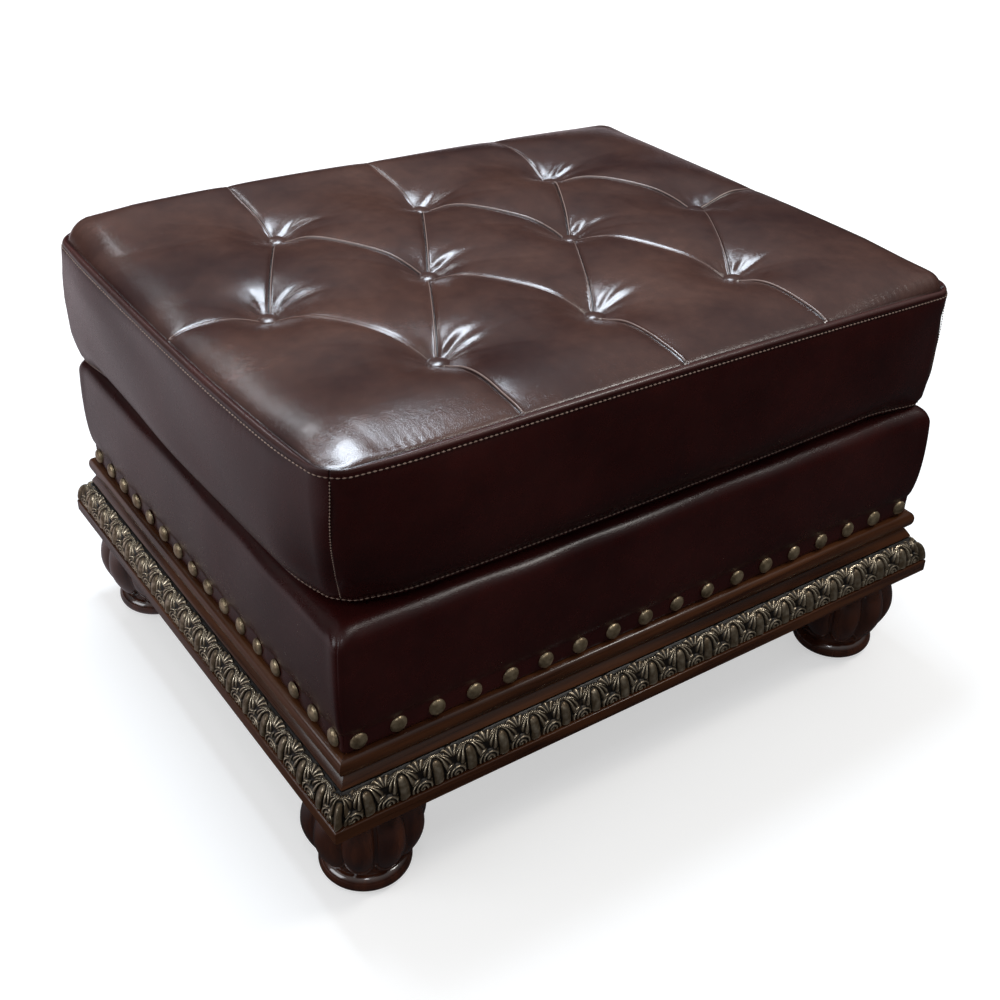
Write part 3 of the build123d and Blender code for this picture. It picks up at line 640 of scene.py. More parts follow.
# Carved band: tongues under ribbed caps, with a fan and a scroll between each pair
def tongue_and_leaf(across, up):
    """Height of the ornament above its ground; across is from the nearest tongue's middle."""
    span = np.abs(across)
    half = tongue_pitch / 2

    # Tongue: a bullet with a rounded head and a dark line round it
    half_width = 5.7 - 0.02 * up
    head = np.clip((up - 13.0) / 13.5, 0, 1)
    body = np.clip(1 - (span / half_width) ** 2 - head**2.6, 0, 1)
    tongue = tongue_height * body**0.5 * smooth(-0.5, 1.5, up)
    from_tongue = np.hypot(span / (half_width + 0.6), np.clip((up - 18.0) / 9.2, 0, 9))
    around_tongue = smooth(0.95, 1.3, from_tongue)

    # Ribbed cap that spreads from behind the tongue and droops on both sides
    apex = 29.5
    droop = span / np.sqrt(np.maximum(apex - up, 0.4))
    rib = np.abs(np.sin(math.pi * droop / 1.6))
    oval = np.hypot(span / (15.3 + 0.9 * rib), (up - 18.0) / (14.6 + 1.2 * rib))
    cap = 3.7 * np.clip(1 - oval**5, 0, 1) ** 0.5 * (0.1 + 0.9 * rib**1.1)
    cap = cap * around_tongue * smooth(9.5, 12.0, up + 1.6 * rib - 0.004 * span**2)

    # Fan of blades between the caps
    ray_x, ray_y = half - span, up - 18.5
    ray_reach = np.hypot(ray_x, ray_y)
    ray_lean = np.degrees(np.arctan2(ray_x, ray_y))
    blades = np.abs(np.cos(np.radians(ray_lean * 180 / 25)))
    fan = 3.1 * (0.2 + 0.8 * blades) * smooth(18.0, 16.5, ray_reach) * smooth(1.0, 5.0, ray_reach)
    fan = fan * smooth(40, 35, ray_lean)

    # Wave block between the tongues, the same way round in every gap
    block_x = np.where(across > 0, across - half, across + half)
    plate = smooth(11.9, 11.0, np.abs(block_x)) * smooth(0.0, 1.2, up)
    top_line = 11.0 - 0.03 * block_x**2 + 0.12 * block_x
    plate = plate * smooth(top_line + 0.7, top_line - 0.7, up)
    curl = np.hypot((block_x - 1.8) * 0.86, (up - 2.4) * 1.12)
    winding = np.arctan2(up - 2.4, block_x - 1.8)
    waves = 0.5 + 0.5 * np.cos(math.tau * (curl - 0.3) / 3.8 + winding)
    block = plate * (1.3 + 2.0 * waves**1.4)
    tip_along = (block_x + 9.5) * 0.62 + (up - 9.0) * 0.78
    tip_aside = (block_x + 9.5) * 0.78 - (up - 9.0) * 0.62
    tip = 3.3 * bump(tip_aside - 0.06 * tip_along**2, 1.4)
    tip = tip * smooth(-1.5, 1, tip_along) * smooth(9, 6, tip_along)
    eye = 3.2 * np.sqrt(np.clip(1 - np.hypot(block_x - 8.4, up - 11.4) ** 2 / 5.0, 0, 1))
    return np.maximum.reduce([tongue, cap, fan, block, tip, eye])


def ornament(across, from_corner, up):
    """Repeating ornament, with one more tongue wrapped round the corner."""
    at_corner = smooth(15.5, 12.5, from_corner)
    along_run, on_corner = tongue_and_leaf(across, up), tongue_and_leaf(from_corner, up)
    return along_run * (1 - at_corner) + on_corner * at_corner


band_rise = band_top - band_base
curve_depth, curve_reach = 1 - math.cos(band_curve_turn), math.sin(band_curve_turn)
for side in sides:
    rows = carving_rows
    band = sheet(round(2 * side.half_run / carving_step), rows)
    across_share, row_share = plan(band)
    row = whole_step(row_share, rows)
    face_share = np.clip((row - 2) / (rows - 4), 0, 1)
    angle = face_share * math.pi / 2 * band_curve_share
    curve_inset = band_foot_inset + band_lean * (1 - np.cos(angle)) / curve_depth
    curve_height = band_base + band_rise * np.sin(angle) / curve_reach

    # Ornament, spaced evenly along the side
    limit = side.half_run - curve_inset
    reach = side.half_run - carving_corner_margin
    steps = round(2 * reach / tongue_pitch)
    pitch = 2 * reach / steps
    along = across_share * limit
    place_in_run = (along + reach) / pitch
    across = (place_in_run - np.round(place_in_run)) * pitch
    across = np.where(np.abs(along) > reach + pitch / 2, pitch / 2 * np.sign(along), across)
    up_face = face_share * band_face_length
    from_corner = limit - np.abs(along)
    height = ornament(across, from_corner, up_face)
    level_around = sum(
        ornament(across + 1.3 * math.cos(turn), from_corner, up_face + 1.3 * math.sin(turn))
        for turn in np.arange(6) * math.tau / 6
    ) / 6
    gilding = np.clip(0.04 + 0.14 * height + 0.6 * (height - level_around), 0, 1)
    height = np.minimum(height, tongue_height) + 0.04 * ripple(along, up_face, 5.0, 11)

    # Face, with one row more at its foot and head, and the back behind both
    sunk = ground_sink - height
    inset = curve_inset + sunk * np.cos(angle)
    level = curve_height - sunk * np.sin(angle) * 0.9
    foot_level, head_level = band_base + band_margin, band_top - band_margin
    level = np.clip(level, foot_level, head_level)
    inset = np.where((row == 1) | (row == rows - 1), inset + 1.0, inset)
    inset = np.where((row == 0) | (row == rows), band_back_inset, inset)
    level = np.where(row >= rows - 1, head_level, level)
    level = np.where((row <= 1) | (row == rows), foot_level, level)
    along = across_share * (side.half_run - inset)
    paint(band, "relief", np.where((row >= 2) & (row <= rows - 2), gilding, 0.0))
    place(band, *on_side(side, along, inset, level))
    weld(band)
    close_ends(band)
    finish_piece(
        band, f"carving_{side.name}", "base", bronze,
        [f"carved_moulding_{side.name}"],
    )


# Bun feet: ten lobes that end in rounded toes above a ring
foot_from_middle_x = 326.0
foot_from_middle_y = 258.0
lobe_angle = 36.0
melon_radius = 62.0
melon_middle = 73.0
ring_top = 24.0
ring_middle = 13.5
ring_tube = 10.5
ring_centre = 36.3
lobe_middle = 42.26
lobe_radius = 19.74
foot_columns = 160
melon_heights = np.linspace(foot_height - 0.2, 33.0, 46)
melon_radii = np.where(
    melon_heights > melon_middle,
    np.sqrt(melon_radius**2 - (melon_heights - melon_middle) ** 2),
    melon_radius - 16.5 * ((melon_middle - melon_heights) / 42.0).clip(0, 2) ** 1.75,
)
foot_profile = (
    [(0.0, foot_height - 0.2), (30.0, foot_height - 0.2)]
    + list(zip(melon_radii, melon_heights))
    + [(45.0, 30.5), (43.8, 28.4), (42.2, 26.6), (40.6, 25.2), (38.6, 24.2)]
    + [
        (ring_centre + ring_tube * math.cos(angle), ring_middle + ring_tube * math.sin(angle))
        for angle in np.radians(np.linspace(84, -84, 22))
    ]
    + [(30.0, 3.0), (0.0, 3.0)]
)
foot_radii, foot_levels = two_lists(foot_profile)
for corner_name, hand_x, hand_y in (
    ("front_left", -1, -1), ("front_right", 1, -1), ("back_left", -1, 1), ("back_right", 1, 1)
):
    foot_x, foot_y = hand_x * foot_from_middle_x, hand_y * foot_from_middle_y
    rows = len(foot_profile) - 1
    foot = sheet(foot_columns, rows)
    around_share, row_share = plan(foot)
    row = whole_step(row_share, rows)
    radius, level = foot_radii[row], foot_levels[row]
    bearing = (around_share + 1) * math.pi
    half_lobe = lobe_angle / 2
    from_crest = np.mod(np.degrees(bearing), lobe_angle) - half_lobe
    lean = np.radians(from_crest)
    lobe = lobe_middle * np.cos(lean)
    lobe = (lobe + np.sqrt(lobe_radius**2 - (lobe_middle * np.sin(lean)) ** 2)) / melon_radius
    groove = bump(half_lobe - np.abs(from_crest), 1.6) * 0.045
    toe = smooth(0, 1, (level - (25.5 + 12.0 * (from_crest / half_lobe) ** 2)) / 8.0)
    on_melon = (level > ring_top + 0.6) & (radius > 31)
    neck = np.minimum(radius, 37.5)
    lobed = neck + (radius * (lobe - groove) - neck) * np.sqrt(toe)
    radius = np.where(on_melon, lobed, radius)
    place(foot, foot_x + radius * np.cos(bearing), foot_y + radius * np.sin(bearing), level)
    weld(foot)
    finish_piece(
        foot, f"bun_foot_{corner_name}", "base", mahogany_upright,
        [f"foot_{corner_name}"],
    )


# Box leather: drawn round the frame, nailed at its foot and rolled over the deck's edge
def square_edge(share):
    """Place on the border of a unit square, going round it once from its first corner."""
    leg = np.mod(share, 1.0) * 4
    part = np.floor(leg)
    step = (leg - part) * 2 - 1
    one = np.ones_like(step)
    parts = [part == 0, part == 1, part == 2]
    return np.select(parts, [step, one, -step], -1.0), np.select(parts, [-one, step, one], -step)


def dense_rim(value):
    """Unit coordinate with its steps drawn closer together near both ends."""
    return value + 0.4 * np.sin(math.pi * value) / math.pi


def rounded(s, t, half_x, half_y, radius, bow=0.0):
    """Spread a unit square over a rectangle with rounded corners and sides that may bow out."""
    x, y = s * half_x, t * half_y
    over_x = np.maximum(np.abs(x) - (half_x - radius), 0)
    over_y = np.maximum(np.abs(y) - (half_y - radius), 0)
    length = np.maximum(np.hypot(over_x, over_y), 1e-9)
    ease = np.maximum(over_x, over_y) / length
    round_x = np.sign(x) * (half_x - radius + over_x * ease)
    round_y = np.sign(y) * (half_y - radius + over_y * ease)
    both = (over_x > 0) & (over_y > 0)
    x, y = np.where(both, round_x, x), np.where(both, round_y, y)
    share_x, share_y = x / half_x, y / half_y
    return x - bow * share_x**3 * share_y**2, y - bow * share_y**3 * share_x**2


def cover_profile():
    """Face of the box leather from its foot to the deck: depth and height."""
    shoulder = deck_top - cover_edge_radius
    turned_in = [(8.0, 0.15), (1.6, 0.15), (0.5, 0.8), (0.0, 2.2)]
    points = [(cover_foot_inset + depth, plinth_top + rise) for depth, rise in turned_in]
    for level in np.linspace(plinth_top + 5.0, nail_strip_top, 8):
        points.append((cover_foot_inset, level))
    for share in np.linspace(0.04, 1, 30):
        level = nail_strip_top + share * (shoulder - nail_strip_top)
        straight = cover_foot_inset + (cover_shoulder_inset - cover_foot_inset) * share
        bow = 4 * share**0.7 * (1 - share**0.7) * cover_belly
        points.append((straight - bow, level))
    centre, radius = cover_shoulder_inset + cover_edge_radius, cover_edge_radius
    for angle in np.radians(np.linspace(6, 90, 14)):
        points.append((centre - radius * math.cos(angle), shoulder + radius * math.sin(angle)))
    points += [(centre + 8, deck_top + 0.1), (centre + 16, deck_top - 0.2)]
    return points + [(cover_deck_inset, deck_top - 1.0)]


outside = cover_profile()
inside = [
    (inset + cover_thickness, max(level - cover_thickness, plinth_top + 0.2))
    for inset, level in reversed(outside[3:-1])
]
cover_outline = outside + [(cover_deck_inset, deck_top - 2.4)] + inside
cover_insets, cover_levels = two_lists(cover_outline)


def column_share(column):
    """Share of the way round for counted columns, which lie closer together near the corners."""
    counts = np.cumsum([0] + [cover_long_columns, cover_short_columns] * 2)
    leg = np.interp(column, counts, [0, 1, 2, 3, 4])
    part = np.floor(leg)
    step = leg - part
    return (part + step - 0.75 / math.tau * np.sin(step * math.tau)) / 4


rows = len(cover_outline)
columns = 2 * (cover_long_columns + cover_short_columns)
box = sheet(columns, rows)
around_share, row_share = plan(box)
s, t = square_edge(column_share((around_share + 1) / 2 * columns))
row = np.mod(whole_step(row_share, rows), rows)
inset, level = cover_insets[row], cover_levels[row]
face_rows = row < len(outside)
x, y = rounded(s, t, plinth_length / 2 - inset, plinth_depth / 2 - inset, cover_corner_radius)
on_long = np.abs(t) > np.abs(s)
run_x = np.where(on_long, x, y)
push = np.zeros_like(x)
# The leather dips under each nail and swells a little between two of them
for side in sides:
    mine = on_long if side.inward[0] == 0 else ~on_long
    facing = (t if side.inward[0] == 0 else s) * -(side.inward[1] + side.inward[0]) > 0.99
    for station in nail_stations(side):
        gap = np.hypot(run_x - station, (level - nail_height) * 0.8)
        push = np.where(mine & facing, push - 1.25 * bump(gap, 11.0), push)
between = smooth(nail_height + 42, nail_height + 8, level) * 0.9
push += between * 0.5 * np.cos(run_x / 41.2 * math.tau + math.pi)
push += 0.7 * ripple(run_x, level, 150.0, 5) * smooth(plinth_top, nail_strip_top + 20, level)
# Corner seam: a groove beside a fuller edge
corner_gap = np.where(
    on_long, plinth_length / 2 - inset - np.abs(x), plinth_depth / 2 - inset - np.abs(y)
)
fuller = 1.0 * bump(corner_gap - 9, 7.0) * smooth(230, 320, level)
push += -1.7 * bump(corner_gap - 1.2, 0.8) + fuller
push = np.where(face_rows, push, 0) * smooth(deck_top + 0.5, deck_top - 8, level)
direction_x = np.where(on_long, 0.0, np.sign(x))
direction_y = np.where(on_long, np.sign(y), 0.0)
place(box, x + direction_x * push, y + direction_y * push, level)
# Painted shade along the corner seam
paint(box, "wear_and_painted_light", np.where(face_rows, -0.95 * bump(corner_gap, 1.0), 0.0))
weld(box)
box_leather = finish_piece(
    box, "box_leather", "base", oxblood_shaded,
    [f"box_cover_{side.name}" for side in sides] + [f"side_padding_{side.name}" for side in sides],
)

# Deck panel the cushion lies on
deck = sheet(130, 104)
s, t = plan(deck)
deck_half_x, deck_half_y = plinth_length / 2 - deck_margin, plinth_depth / 2 - deck_margin
x, y = s * deck_half_x, t * deck_half_y
rim = np.minimum(deck_half_x - np.abs(x), deck_half_y - np.abs(y))
level = deck_top - 1.6 + 0.5 * ripple(x, y, 160.0, 21) - 2.0 * bump(rim - 8, 4.0) - 0.6
place(deck, x, y, level)
border = [edge for edge in deck.edges if edge.is_boundary]
skirt = bmesh.ops.extrude_edge_only(deck, edges=border)
for vert in [item for item in skirt["geom"] if isinstance(item, bmesh.types.BMVert)]:
    vert.co.z = (deck_top - deck_skirt) * to_metres
close_ends(deck)
deck_panel = finish_piece(
    deck, "deck_panel", "base", oxblood_shaded, ["deck_cloth", "deck_pad"],
    sharp=50,
)

# Domed nails
nail_dice = random.Random(3)
for side in sides:
    row_of_nails = bmesh.new()
    for station in nail_stations(side):
        dome = bmesh.ops.create_uvsphere(
            row_of_nails, u_segments=28, v_segments=16, radius=1.0
        )["verts"]
        for vert in dome:
            vert.co.z *= nail_crown if vert.co.z > 0 else nail_rim
        spot = Vector(on_side(side, station, cover_foot_inset + 0.2, nail_height)) * to_metres
        outward = Vector((-side.inward[0], -side.inward[1], 0))
        lean = Vector([nail_dice.uniform(-0.07, 0.07) for _ in range(3)])
        facing = (outward + lean).to_track_quat("Z", "Y").to_matrix().to_4x4()
        wide = nail_radius * nail_dice.uniform(0.97, 1.02) * to_metres
        size = Matrix.Diagonal((wide, wide, to_metres, 1))
        into_place = Matrix.Translation(spot) @ facing @ size
        bmesh.ops.transform(row_of_nails, matrix=into_place, verts=dome)
    finish_piece(
        row_of_nails, f"nail_heads_{side.name}", "base", aged_brass,
        [f"nails_{side.name}"], sharp=50,
    )


# Cushion leather: tufted top, banded seam, drawn-in sides and curled underside
seam_half_x = cushion_half_length - seam_inset
seam_half_y = cushion_half_depth - seam_inset


def inside_seam(x, y):
    """Distance in from the top seam, with no ridges where the sides' distances meet."""
    half_x = seam_half_x - side_bow * (y / seam_half_y) ** 2
    half_y = seam_half_y - side_bow * (x / half_x) ** 2
    radius = top_seam_corner
    past_x, past_y = np.abs(x) - (half_x - radius), np.abs(y) - (half_y - radius)
    true = radius - np.hypot(np.maximum(past_x, 0), np.maximum(past_y, 0))
    true = true - np.minimum(np.maximum(past_x, past_y), 0)
    ease = radius * 0.708
    from_x, from_y = half_x + ease - np.abs(x), half_y + ease - np.abs(y)
    soft = (from_x**-2.0 + from_y**-2.0) ** -0.5 - ease
    share = smooth(0, 30, true)
    return true * (1 - share) + soft * share


def seam_line(s, t):
    """Spread a unit square over the top, up to its seam."""
    return rounded(s, t, seam_half_x, seam_half_y, top_seam_corner, side_bow)


# Creases: start, end, and whether the end is at a button too
creases = []
for row_sign in (-1, 1):
    for step in (-1, 0, 1):
        start = np.array([step * tuft_pitch_x, row_sign * tuft_pitch_y])
        for turn in (-1, 1):
            creases.append((start, np.array([(step + turn / 2) * tuft_pitch_x, 0.0]), True))
        creases.append((start, np.array([start[0], row_sign * (seam_half_y + 2.0)]), False))
for hand in (-1, 1):
    end = np.array([hand * 1.5 * tuft_pitch_x, 0.0])
    creases.append((end, np.array([hand * (seam_half_x + 2.0), 0.0]), False))


def crease_place(x, y, start, end):
    """Distance along a crease, to its side, and past its ends."""
    line = end - start
    length = math.hypot(*line)
    along_x, along_y = line / length
    gone = (x - start[0]) * along_x + (y - start[1]) * along_y
    aside = -(x - start[0]) * along_y + (y - start[1]) * along_x
    past = np.maximum(np.maximum(-gone, gone - length), 0)
    return gone, aside, past, length


def nearest_crease(x, y):
    """Distance to the nearest crease."""
    nearest = np.full_like(x, 1e6)
    for start, end, _ in creases:
        _, aside, past, _ = crease_place(x, y, start, end)
        nearest = np.minimum(nearest, np.hypot(aside, past))
    return nearest


pleat_dice = random.Random(17)
pleats = []
for button_x, button_y in buttons:
    # Direction and spread in degrees, number, reach, depth and bend of each fan of folds
    for centre, spreading, count, reach, depth, bend in (
        (17.0, 17.0, 3, 66.0, 1.5, -0.3),
        (-32.0, 20.0, 2, 46.0, 1.0, -0.2),
        (92.0, 22.0, 2, 42.0, 1.0, 0.1),
        (200.0, 60.0, 3, 44.0, 0.9, 0.15),
        (285.0, 26.0, 2, 38.0, 0.8, -0.1),
    ):
        for index in range(count):
            step = (index + 0.5) / count * 2 - 1
            pleats.append((
                button_x, button_y,
                math.radians(centre - spreading * step + pleat_dice.uniform(-4, 4)),
                reach * pleat_dice.uniform(0.65, 1.1) * (1 + 0.15 * step),
                depth * pleat_dice.uniform(0.6, 1.15),
                bend * pleat_dice.uniform(0.5, 1.5),
            ))


def seam_lift(x, y):
    """How far the top seam rides up or sinks round the cushion."""
    s, t = x / cushion_half_length, y / cushion_half_depth
    front_left, front_right, back_left, back_right = corner_lifts
    front = front_left * (1 - s) / 2 + front_right * (1 + s) / 2 + front_lift * (1 - s**2)
    back = back_left * (1 - s) / 2 + back_right * (1 + s) / 2 + back_lift * (1 - s**2)
    return front * (1 - t) / 2 + back * (1 + t) / 2


def far_puff(x, y, edge):
    """Fuller filling along the far edges."""
    s, t = x / seam_half_x, y / seam_half_y
    stations = [-1, -0.92, -0.78, -0.5, 0.1, 0.5, 0.85, 1]
    along_back = np.interp(s, stations, [5, 13, 15.5, 14, 7, 5, 3, 2])
    along_right = np.interp(t, [-1, -0.6, 0.3, 0.8, 1], [4, 7, 3, 2, 2])
    along_left = np.interp(t, [0, 0.6, 1], [0, 3, 2])
    puff = np.maximum(along_back * smooth(0.45, 0.9, t), along_right * smooth(0.5, 0.9, s))
    puff = np.maximum(puff, along_left * smooth(-0.5, -0.9, s))
    corner = smooth(0.8, 1, np.abs(s)) * smooth(0.76, 1, np.abs(t)) * smooth(-1.2, -0.6, s + t)
    puff = puff * (edge / 17.0) * np.exp(1 - edge / 17.0)
    return puff + 2.5 * corner * (edge / 13.0) * np.exp(1 - edge / 13.0)


def top_height(x, y):
    """Height of the tufted top."""
    edge = np.maximum(inside_seam(x, y), 0)

    # Crown of the filling, with its own dome and hollow at the shown corner
    near = bump(np.hypot(x + seam_half_x, y + seam_half_y), 95.0)
    crown = crown_height * (1 - np.exp(-edge / crown_reach))
    from_left, from_front = np.maximum(x + seam_half_x, 0), np.maximum(y + seam_half_y, 0)
    dome = near_crown_height * (1 - (1 - np.minimum(from_left / 75, 1)) ** 2)
    dome = dome * (1 - (1 - np.minimum(from_front / 75, 1)) ** 2)
    hollow = from_left - 66.0 + 0.25 * from_front
    hollow = np.where(hollow < 0, bump(hollow, 15.0), bump(hollow, 42.0))
    hollow = hollow * smooth(80, 15, from_front)
    crown += (dome - crown) * near + 1.1 * (1 - np.exp(-edge / 2.5))
    crown -= 1.9 * hollow * smooth(0, 10, edge)
    crown += 1.4 * ripple(x, y, 210.0, 8) * smooth(4, 60, edge)
    crown += far_puff(x, y, edge)

    # Funnels of the buttons and troughs of the creases
    sunk, funnel = np.zeros_like(x), np.zeros_like(x)
    for button_x, button_y in buttons:
        away = np.hypot(x - button_x, y - button_y)
        funnel = np.maximum(funnel, np.exp(-((away / tuft_reach) ** 1.5)))
    for start, end, between_buttons in creases:
        gone, aside, past, length = crease_place(x, y, start, end)
        near = np.minimum(gone, length - gone) if between_buttons else gone
        near = np.clip(near, 0, None)
        fall = np.exp(-near / 34.0)
        depth = 4.2 + 7.0 * fall
        flank = 11.0 + 17.0 * fall
        fade = bump(past, 5.0)
        if not between_buttons:
            fade = fade * smooth(-2, 45, length - gone)
        side_way = np.sqrt(aside**2 + 0.36)
        trough = depth * np.exp(-side_way / flank)
        sunk = (sunk**3 + (trough * fade) ** 3) ** (1 / 3)
    total = (sunk**2.2 + (tuft_depth * funnel) ** 2.2) ** (1 / 2.2)

    # Sharp line and raised lip of each crease
    folds = np.zeros_like(x)
    for start, end, between_buttons in creases:
        gone, aside, past, length = crease_place(x, y, start, end)
        fade = bump(past, 2.0) * smooth(0, 10, gone)
        if between_buttons:
            fade = fade * smooth(0, 10, length - gone)
        elif end.max() > seam_half_y:
            fade = fade * (0.3 + 0.7 * smooth(20, 50, length - gone))
        line = 2.2 * bump(aside, 0.65)
        folds += fade * (1.4 * bump(aside - 1.3, 0.9) - line - 0.7 * bump(aside + 1.6, 1.5))

    # Folds that run out from the buttons
    for button_x, button_y, bearing, reach, depth, bend in pleats:
        off_x, off_y = x - button_x, y - button_y
        away = np.hypot(off_x, off_y)
        close = away < reach * 1.3
        if not close.any():
            continue
        turn = np.arctan2(off_y[close], off_x[close])
        far = away[close]
        swing = bearing + bend * (far - 14.0) / 60.0
        aside = np.arctan2(np.sin(turn - swing), np.cos(turn - swing)) * far
        width = 1.7 + 0.07 * far
        fade = smooth(9, 20, far) * smooth(reach, reach * 0.45, far)
        ridge = 0.55 * bump(aside - 1.9 * width, 1.2 * width)
        folds[close] += depth * fade * (ridge - bump(aside, width))

    # Puckers across the seam
    along_x = np.sin(0.7 * x + 1.7 * np.sin(0.05 * x))
    along_y = np.sin(0.7 * y + 1.7 * np.sin(0.05 * y))
    beside_long = smooth(-8, 8, (seam_half_x - np.abs(x)) - (seam_half_y - np.abs(y)))
    puckers = 0.14 * (along_y + (along_x - along_y) * beside_long) * np.exp(-edge / 9.0)
    puckers = puckers * smooth(-0.2, 0.8, ripple(x, y, 200.0, 31)) * smooth(0.5, 4.0, edge)
    height = seam_height + crown - total + folds + puckers
    return height + seam_lift(x, y) * np.exp(-edge / 45.0)


def crease_light_and_shade(x, y):
    """Painted highlight on the ridge and painted shade in the bottom of each crease, and painted
    shade along the seam round the top.
    """
    wear_and_painted_light = np.zeros_like(x)
    for start, end, between_buttons in creases:
        gone, aside, past, length = crease_place(x, y, start, end)
        fade = bump(past, 2.0) * smooth(4, 14, gone)
        if between_buttons:
            fade = fade * smooth(4, 14, length - gone)
        wear_and_painted_light += fade * (0.7 * bump(aside - 1.1, 0.5) - bump(aside, 0.6))
    edge = inside_seam(x, y)
    return np.clip(wear_and_painted_light - 0.6 * smooth(1.6, 0.2, edge), -1, 1)


top_long, top_short = (round(2 * half / leather_step) for half in (seam_half_x, seam_half_y))
top = sheet(top_long, top_short)
s, t = map(dense_rim, plan(top))
x, y = seam_line(s, t)
for vert, spot_x, spot_y in zip(top.verts, x.tolist(), y.tolist()):
    vert.co = (spot_x, spot_y, 0)
close_to_crease = nearest_crease(x, y) < 5.0
inland = inside_seam(x, y) > 3.0
for vert, chosen in zip(top.verts, (close_to_crease & inland).tolist()):
    vert.tag = chosen
fine_edges = [edge for edge in top.edges if edge.verts[0].tag and edge.verts[1].tag]
bmesh.ops.subdivide_edges(top, edges=fine_edges, cuts=3, use_grid_fill=True)
x, y = plan(top)
# Painted highlight and shade of the creases and the top seam
paint(top, "wear_and_painted_light", crease_light_and_shade(x, y))
lean_x, lean_y = lean_in(x, y, np.full_like(x, 500.0))
place(top, lean_x, lean_y, top_height(x, y))

# Depth and height of the wall's rows, from the groove at the top seam to the underside:
# the rolled strip with its line of stitches, the bulging side, the side that draws in, and
# the lower seam with the curl below it
strip_foot = 465.8
bulge_drop = 55.0
draw_in_top = strip_foot - bulge_drop
draw_in_drop = 64.0
upper_stitches = (5.3, 468.4)
lower_stitches = (17.7, 343.5)
wall_rows = [(seam_inset, seam_height)]
wall_rows += [(11.8, 473.7), (10.8, 474.9), (9.4, 475.7), (7.8, 475.7), (6.2, 475.0)]
wall_rows += [(5.0, 473.8), (4.4, 472.3), (4.3, 470.8), (4.8, 469.6), upper_stitches]
wall_rows += [(4.9, 467.2), (4.2, strip_foot)]
wall_rows += [
    (4.0 * (1 - math.sin(math.pi * (share**0.75) / 2)), strip_foot - share * bulge_drop)
    for share in np.linspace(0.08, 1, 16)
]
wall_rows += [
    (15.6 * (1 - math.cos(math.pi / 2 * share)) ** 2.4, draw_in_top - share * draw_in_drop)
    for share in np.linspace(0.06, 1, 20)
]
wall_rows += [(17.2, 345.4), (17.7, 344.3), lower_stitches, (17.2, 342.6), (17.4, 341.4)]
wall_rows += [(18.4, 340.4), (20.0, 339.6), (22.0, 338.6), (23.5, 337.2), (26.0, 335.8)]
wall_rows += [(30.0, 334.6), (37.0, 333.9), (46.0, 333.5), (60.0, underside), (80.0, underside)]
wall_insets, wall_levels = two_lists(wall_rows)

# Depth of the side at the far corners, and how much more there is towards the right
corner_levels = [333, 337, 343, 350, 375, 410, 440, 466, 480]
corner_insets = [20.0, 15.0, 11.0, 8.0, 4.0, 1.8, 2.4, 5.0, 5.0]
right_levels = [333, 350, 375, 410, 440, 470]
right_insets = [0.5, 1.5, 4.0, 5.0, 4.5, 0]


def corner_share(s, t):
    """1 at a corner, falling to 0 along both sides."""
    return smooth(0.74, 1.0, np.abs(s)) * smooth(0.68, 1.0, np.abs(t))


def cushion_outline(s, t, inset, level):
    """Outline of the cushion's side at one height: the corners run straight down and in."""
    corner_inset = np.interp(level, corner_levels, corner_insets)
    corner_inset = corner_inset + np.interp(level, right_levels, right_insets) * smooth(0.2, 0.9, s)
    shown_corner = smooth(-0.4, -1, s) * smooth(-0.4, -1, t)
    corner_inset = corner_inset + (12.0 * smooth(440, 345, level) + 4.0) * shown_corner
    under = corner_inset + 0.6 * (inset - 20)
    corner_inset = np.where(inset < 24, corner_inset, np.maximum(under, inset))
    strip = smooth(466, 470, level) * (1 - shown_corner)
    tucked = 2.6 * strip * np.clip((seam_inset - inset) / 8.2, 0, 1)
    drawn = inset + ((corner_inset - inset) * (1 - strip) + tucked) * corner_share(s, t)
    corner = top_seam_corner + (seam_inset - drawn) * smooth(425, 465, level)
    return rounded(s, t, cushion_half_length - drawn, cushion_half_depth - drawn, corner, side_bow)


def settled(s, t, x, y, level):
    """Height after the top seam rides up and the corners sink on to the box."""
    far_corner = smooth(-0.6, 0.6, s) + smooth(-0.6, 0.6, t)
    droop = corner_droop * np.minimum(far_corner, 1) * corner_share(s, t) * smooth(420, 345, level)
    droop = droop + 1.5 * np.minimum(far_corner, 1) * corner_share(s, t) * smooth(466, 472, level)
    return np.maximum(level + seam_lift(x, y) * smooth(420, 470, level) - droop, underside)


rows = len(wall_rows) - 1
wall_columns = 2 * (top_long + top_short)
wall = sheet(wall_columns, rows)
around_share, row_share = plan(wall)
counts = np.cumsum([0] + [top_long, top_short] * 2)
column = whole_step(around_share, wall_columns)
s, t = map(dense_rim, square_edge(np.interp(column, counts, [0, 0.25, 0.5, 0.75, 1.0])))
row = rows - whole_step(row_share, rows)
inset, level = wall_insets[row], wall_levels[row]
x, y = cushion_outline(s, t, inset, level)

# Uneven filling, and gathers along both seams
on_long = np.abs(t) > np.abs(s)
run_x = np.where(on_long, x, y)
face_number = np.where(on_long, np.sign(y), 2 * np.sign(x))
swell = 2.1 * ripple(run_x + 400 * face_number, level * 1.6, 230.0, 41) * smooth(345, 380, level)
swell = swell * smooth(470, 440, level)
tight = smooth(0.1, 1.1, ripple(run_x + 400 * face_number, 0 * level, 200.0, 43))
gather = np.sin(run_x * 0.75 + 1.6 * np.sin(run_x * 0.043 + face_number))
gather = gather * (0.5 + 0.5 * ripple(run_x, level, 17.0, 47))
swell += 0.22 * gather * tight * np.exp(-np.abs(level - 465.0) / 6.0) * (level < 469)
swell += 0.25 * gather * tight * np.exp(-np.abs(level - 352.0) / 7.0) * (level > 349)
at_corner = (np.abs(s) > 0.9999) & (np.abs(t) > 0.9999)
corner_seam = at_corner & (row > 0) & (row < rows - 8)
swell = np.where(corner_seam, swell - 2.2, swell)
swell = np.where(row == 0, 0, swell)
on_stitches = np.isin(level, (upper_stitches[1], lower_stitches[1]))
on_strip = (row >= 4) & (row <= 6)
